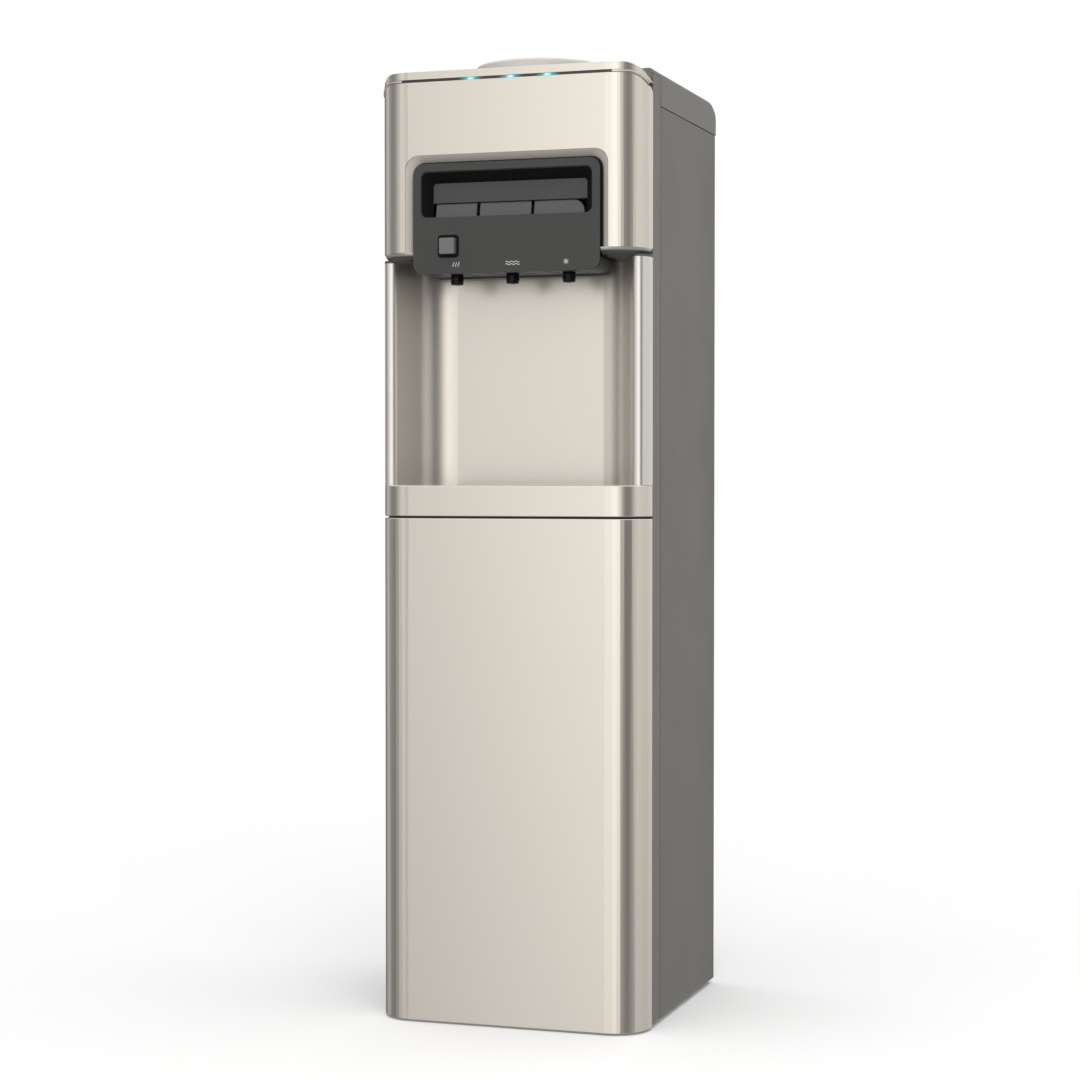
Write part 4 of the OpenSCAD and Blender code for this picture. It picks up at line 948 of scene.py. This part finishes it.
surface("drain_stub", "drain_spigot", turned(spigotOutline(), at(drain["spigot"])[0], "back", turns=48))
surface("drain_cap_ribbed", "drain_cap",
        turned(capOutline(), at(drain["cap"])[0], "back", 240, False, drain["ribs"], drain["ribDepth"]))

gland = {"place": (126, 282, 360), "bore": 3.6, "pipe": 7, "nut": 9.6, "length": 18, "ribs": 16,
         "ribDepth": 0.4}


def glandOutline():
    # a pipe round its bore, then the nut, then a mouth that narrows a little
    bore, pipe, nut, length = gland["bore"], gland["pipe"], gland["nut"], gland["length"]
    return profile([
        (bore, 0, 0.5), (pipe, 0, 0.5), (pipe, 9, 0.3), (nut, 9, 0.6), (nut, 13, 0.8), (pipe, 14, 0.5),
        (pipe - 0.6, length, 0.8), (bore, length, 0.8)], 4)


surface("gland_nut", "cord_gland",
        turned(glandOutline(), at(gland["place"])[0], "back", 192, True, gland["ribs"], gland["ribDepth"]))
print("hoses, feet and back fittings made")


# printed signs over the nozzles: steam, water and a snow crystal
signs = {"z": 829.5, "stroke": 0.42, "flat": 0.2, "steam": {"x": -56.6, "pitch": 3, "half": 2.4, "sway": 0.7},
         "wave": {"x": 8.3, "half": 8, "rise": 1.3, "ripple": 0.6, "ripples": 3},
         "snow": {"x": 68.8, "half": 3, "angles": (30, 90, 150)}}


def signStroke(x, z):
    # a stroke on the front face, pressed nearly flat
    points, faces = tube(at(*np.column_stack([x, np.zeros(len(x)), z])), signs["stroke"], 10)
    points[:, 1] = frontFace + (points[:, 1] - frontFace) * signs["flat"]
    return points, faces


def steamStrokes():
    # x = place + sway * sin(pi * t), height = half * t
    steam, t = signs["steam"], np.linspace(-1, 1, 25)
    return [signStroke(steam["x"] + place * steam["pitch"] + steam["sway"] * np.sin(t * np.pi),
                       signs["z"] + steam["half"] * t) for place in (-1, 0, 1)]


def waveStrokes():
    # x = half * t, height = rise + ripple * sin of that many whole turns
    wave, t = signs["wave"], np.linspace(-1, 1, 49)
    ripple = wave["ripple"] * np.sin(wave["ripples"] * np.pi * (t + 1))
    return [signStroke(wave["x"] + wave["half"] * t, signs["z"] + rise + ripple)
            for rise in (-wave["rise"], wave["rise"])]


def snowStrokes():
    # three straight strokes through one centre
    snow = signs["snow"]
    reach = snow["half"] * np.array([-1, 1])
    return [signStroke(snow["x"] + reach * np.cos(angle), signs["z"] + reach * np.sin(angle))
            for angle in np.radians(snow["angles"])]


takeIn(welded("printed_signs", *steamStrokes(), *waveStrokes(), *snowStrokes(), sharp=50),
       bodyOf["control_fascia"], "white_plastic", finish=labelWhite)
print("signs printed")


# pearl strips that close the light slot where it runs down over the panel's shoulders
slotEnds = {"middle": 1030, "gap": 3, "shoulder": 19, "front": 41, "from": 119.5, "to": 151.6, "steps": 60,
            "radius": 1.45, "sunk": 0.9}


def slotEndPath(side):
    # height follows a circle about the shoulder's centre, depth the front corner's circle
    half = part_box("upper_front_panel")[1].x * 1000
    reach = slotEnds["shoulder"] + slotEnds["gap"] / 2
    front = slotEnds["front"]
    x = np.linspace(slotEnds["from"], slotEnds["to"], slotEnds["steps"])
    drop = reach - np.sqrt(reach ** 2 - np.maximum(x - (half - slotEnds["shoulder"]), 0) ** 2)
    depth = front - np.sqrt(front ** 2 - np.maximum(x - (half - front), 0) ** 2) + slotEnds["sunk"]
    return at(*np.column_stack([side * x, depth, slotEnds["middle"] - drop]))


slotStrips = [tube(slotEndPath(side), slotEnds["radius"], 16) for side in (-1, 1)]
takeIn(welded("slot_end_strips", *slotStrips, sharp=50), bodyOf["front_cap"], slotOf["front_cap"])
print("slot ends closed")


# light: a pale studio whose walls have brighter and darker bands, read as (degrees from -Y towards +X,
# level); heights scale them, read as (sine of the angle over the horizon, share)
studio = {
    "bands": [(-180, 0.45), (-150, 0.12), (-130, 0.20), (-112, 0.67), (-95, 0.29), (-82, 0.19), (-70, 0.21),
              (-58, 0.53), (-42, 0.92), (-30, 0.67), (-24, 0.54), (-19, 1.02), (-15, 1.49), (-8, 1.17),
              (3, 1.27), (12, 1.49), (22, 1.36), (32, 0.84), (42, 0.23), (52, 0.12), (64, 0.19), (74, 0.59),
              (84, 0.84), (105, 0.77), (130, 0.72), (148, 0.82), (160, 0.77), (170, 0.69), (180, 0.45)],
    "heights": [(-1.0, 0.30), (-0.5, 0.40), (-0.24, 0.76), (-0.11, 0.90), (0.0, 1.0), (0.15, 1.07),
                (0.4, 1.0)],
    "warmth": (1, 0.985, 0.965), "top": 1.25, "topEdge": (0.3, 0.5), "bottom": 0.42, "bottomEdge": (0.5, 0.3)}


def studioWorld():
    # level = band(azimuth) * share(height), blended to one level overhead and to another far below; the
    # camera, also through clear pieces, sees plain white
    world = bpy.data.worlds.new("studio")
    bpy.context.scene.world = world
    world.use_nodes = True
    n = Nodes(world.node_tree)
    world.node_tree.nodes.clear()
    direction = n.node("ShaderNodeTexCoord", output=0)
    x, y, z = (n.node("ShaderNodeSeparateXYZ", {}, [direction], index) for index in range(3))
    azimuth = x.work("ARCTAN2", y * -1.0) / (2 * math.pi) + 0.5
    stops = [((angle + 180) / 360, scaled(studio["warmth"], level)) for angle, level in studio["bands"]]
    band = n.node("ShaderNodeValToRGB", {"stops": stops}, [azimuth])
    shares = [((height + 1) / 2, (share, share, share)) for height, share in studio["heights"]]
    share = n.node("ShaderNodeValToRGB", {"stops": shares}, [z * 0.5 + 0.5])
    walls = n.node("ShaderNodeVectorMath", {"operation": "MULTIPLY"}, [band, share])
    colour = n.mixColours(z.step(*studio["topEdge"]), walls, (studio["top"],) * 3)
    colour = n.mixColours((z * -1.0).step(*studio["bottomEdge"]), colour, (studio["bottom"],) * 3)
    light = n.node("ShaderNodeBackground", {}, [colour, 1.0])
    white = n.node("ShaderNodeBackground", {}, [(1, 1, 1, 1), 1.0])
    direct = n.node("ShaderNodeLightPath", output="Is Camera Ray")
    through = n.node("ShaderNodeLightPath", output="Is Transmission Ray")
    mixed = n.node("ShaderNodeMixShader", {}, [direct.work("MAXIMUM", through), light, white])
    n.node("ShaderNodeOutputWorld", {}, [mixed])


ground = {"radius": 1.9, "sides": 96, "fade": (0.6, 1.2), "colours": ((0.93, 0.93, 0.93), (0.95, 0.95, 0.95))}


def paleFloor():
    # a white disc that only the camera sees and that fades out before its rim
    mesh = bpy.data.meshes.new("floor")
    turn = np.linspace(0, 2 * np.pi, ground["sides"], endpoint=False)
    rim = np.stack([np.cos(turn), np.sin(turn), np.zeros_like(turn)], axis=1) * ground["radius"]
    mesh.from_pydata(rim.tolist(), [], [list(range(len(rim)))])
    floor = bpy.data.objects.new("floor", mesh)
    bpy.context.scene.collection.objects.link(floor)
    f = Finish("floor")
    place = f.node("ShaderNodeTexCoord", output=3)
    fromMiddle = f.node("ShaderNodeVectorMath", {"operation": "LENGTH"}, [place], 1)
    f.set(colour=f.mixColours(f.noise(0.3), *ground["colours"]), roughness=0.7)
    direct = f.node("ShaderNodeLightPath", output="Is Camera Ray")
    clear = f.node("ShaderNodeBsdfTransparent")
    cover = direct * (1 - fromMiddle.step(*ground["fade"]))
    mixed = f.node("ShaderNodeMixShader", {}, [cover, clear, Value(f, f.shader.outputs[0])])
    f.feed(f.tree.nodes["Material Output"].inputs[0], mixed)
    mesh.materials.append(f.material)


softbox = {"place": (1.2, -2.2, 2.6), "target": (0, 0, 0.5), "size": (1.6, 1.2), "watts": 22}


def frontSoftbox():
    # a large lamp over and before the right front corner, which neither the camera nor a glossy surface sees
    lamp = bpy.data.lights.new("front_softbox", "AREA")
    lamp.shape = "RECTANGLE"
    lamp.size, lamp.size_y = softbox["size"]
    lamp.energy = softbox["watts"]
    thing = bpy.data.objects.new("front_softbox", lamp)
    thing.location = softbox["place"]
    aim = Vector(softbox["target"]) - thing.location
    thing.rotation_euler = aim.to_track_quat("-Z", "Y").to_euler()
    thing.visible_camera = False
    thing.visible_glossy = False
    bpy.context.scene.collection.objects.link(thing)


studioWorld()
paleFloor()
frontSoftbox()
bpy.context.scene.view_settings.view_transform = "Standard"
print("studio lit")
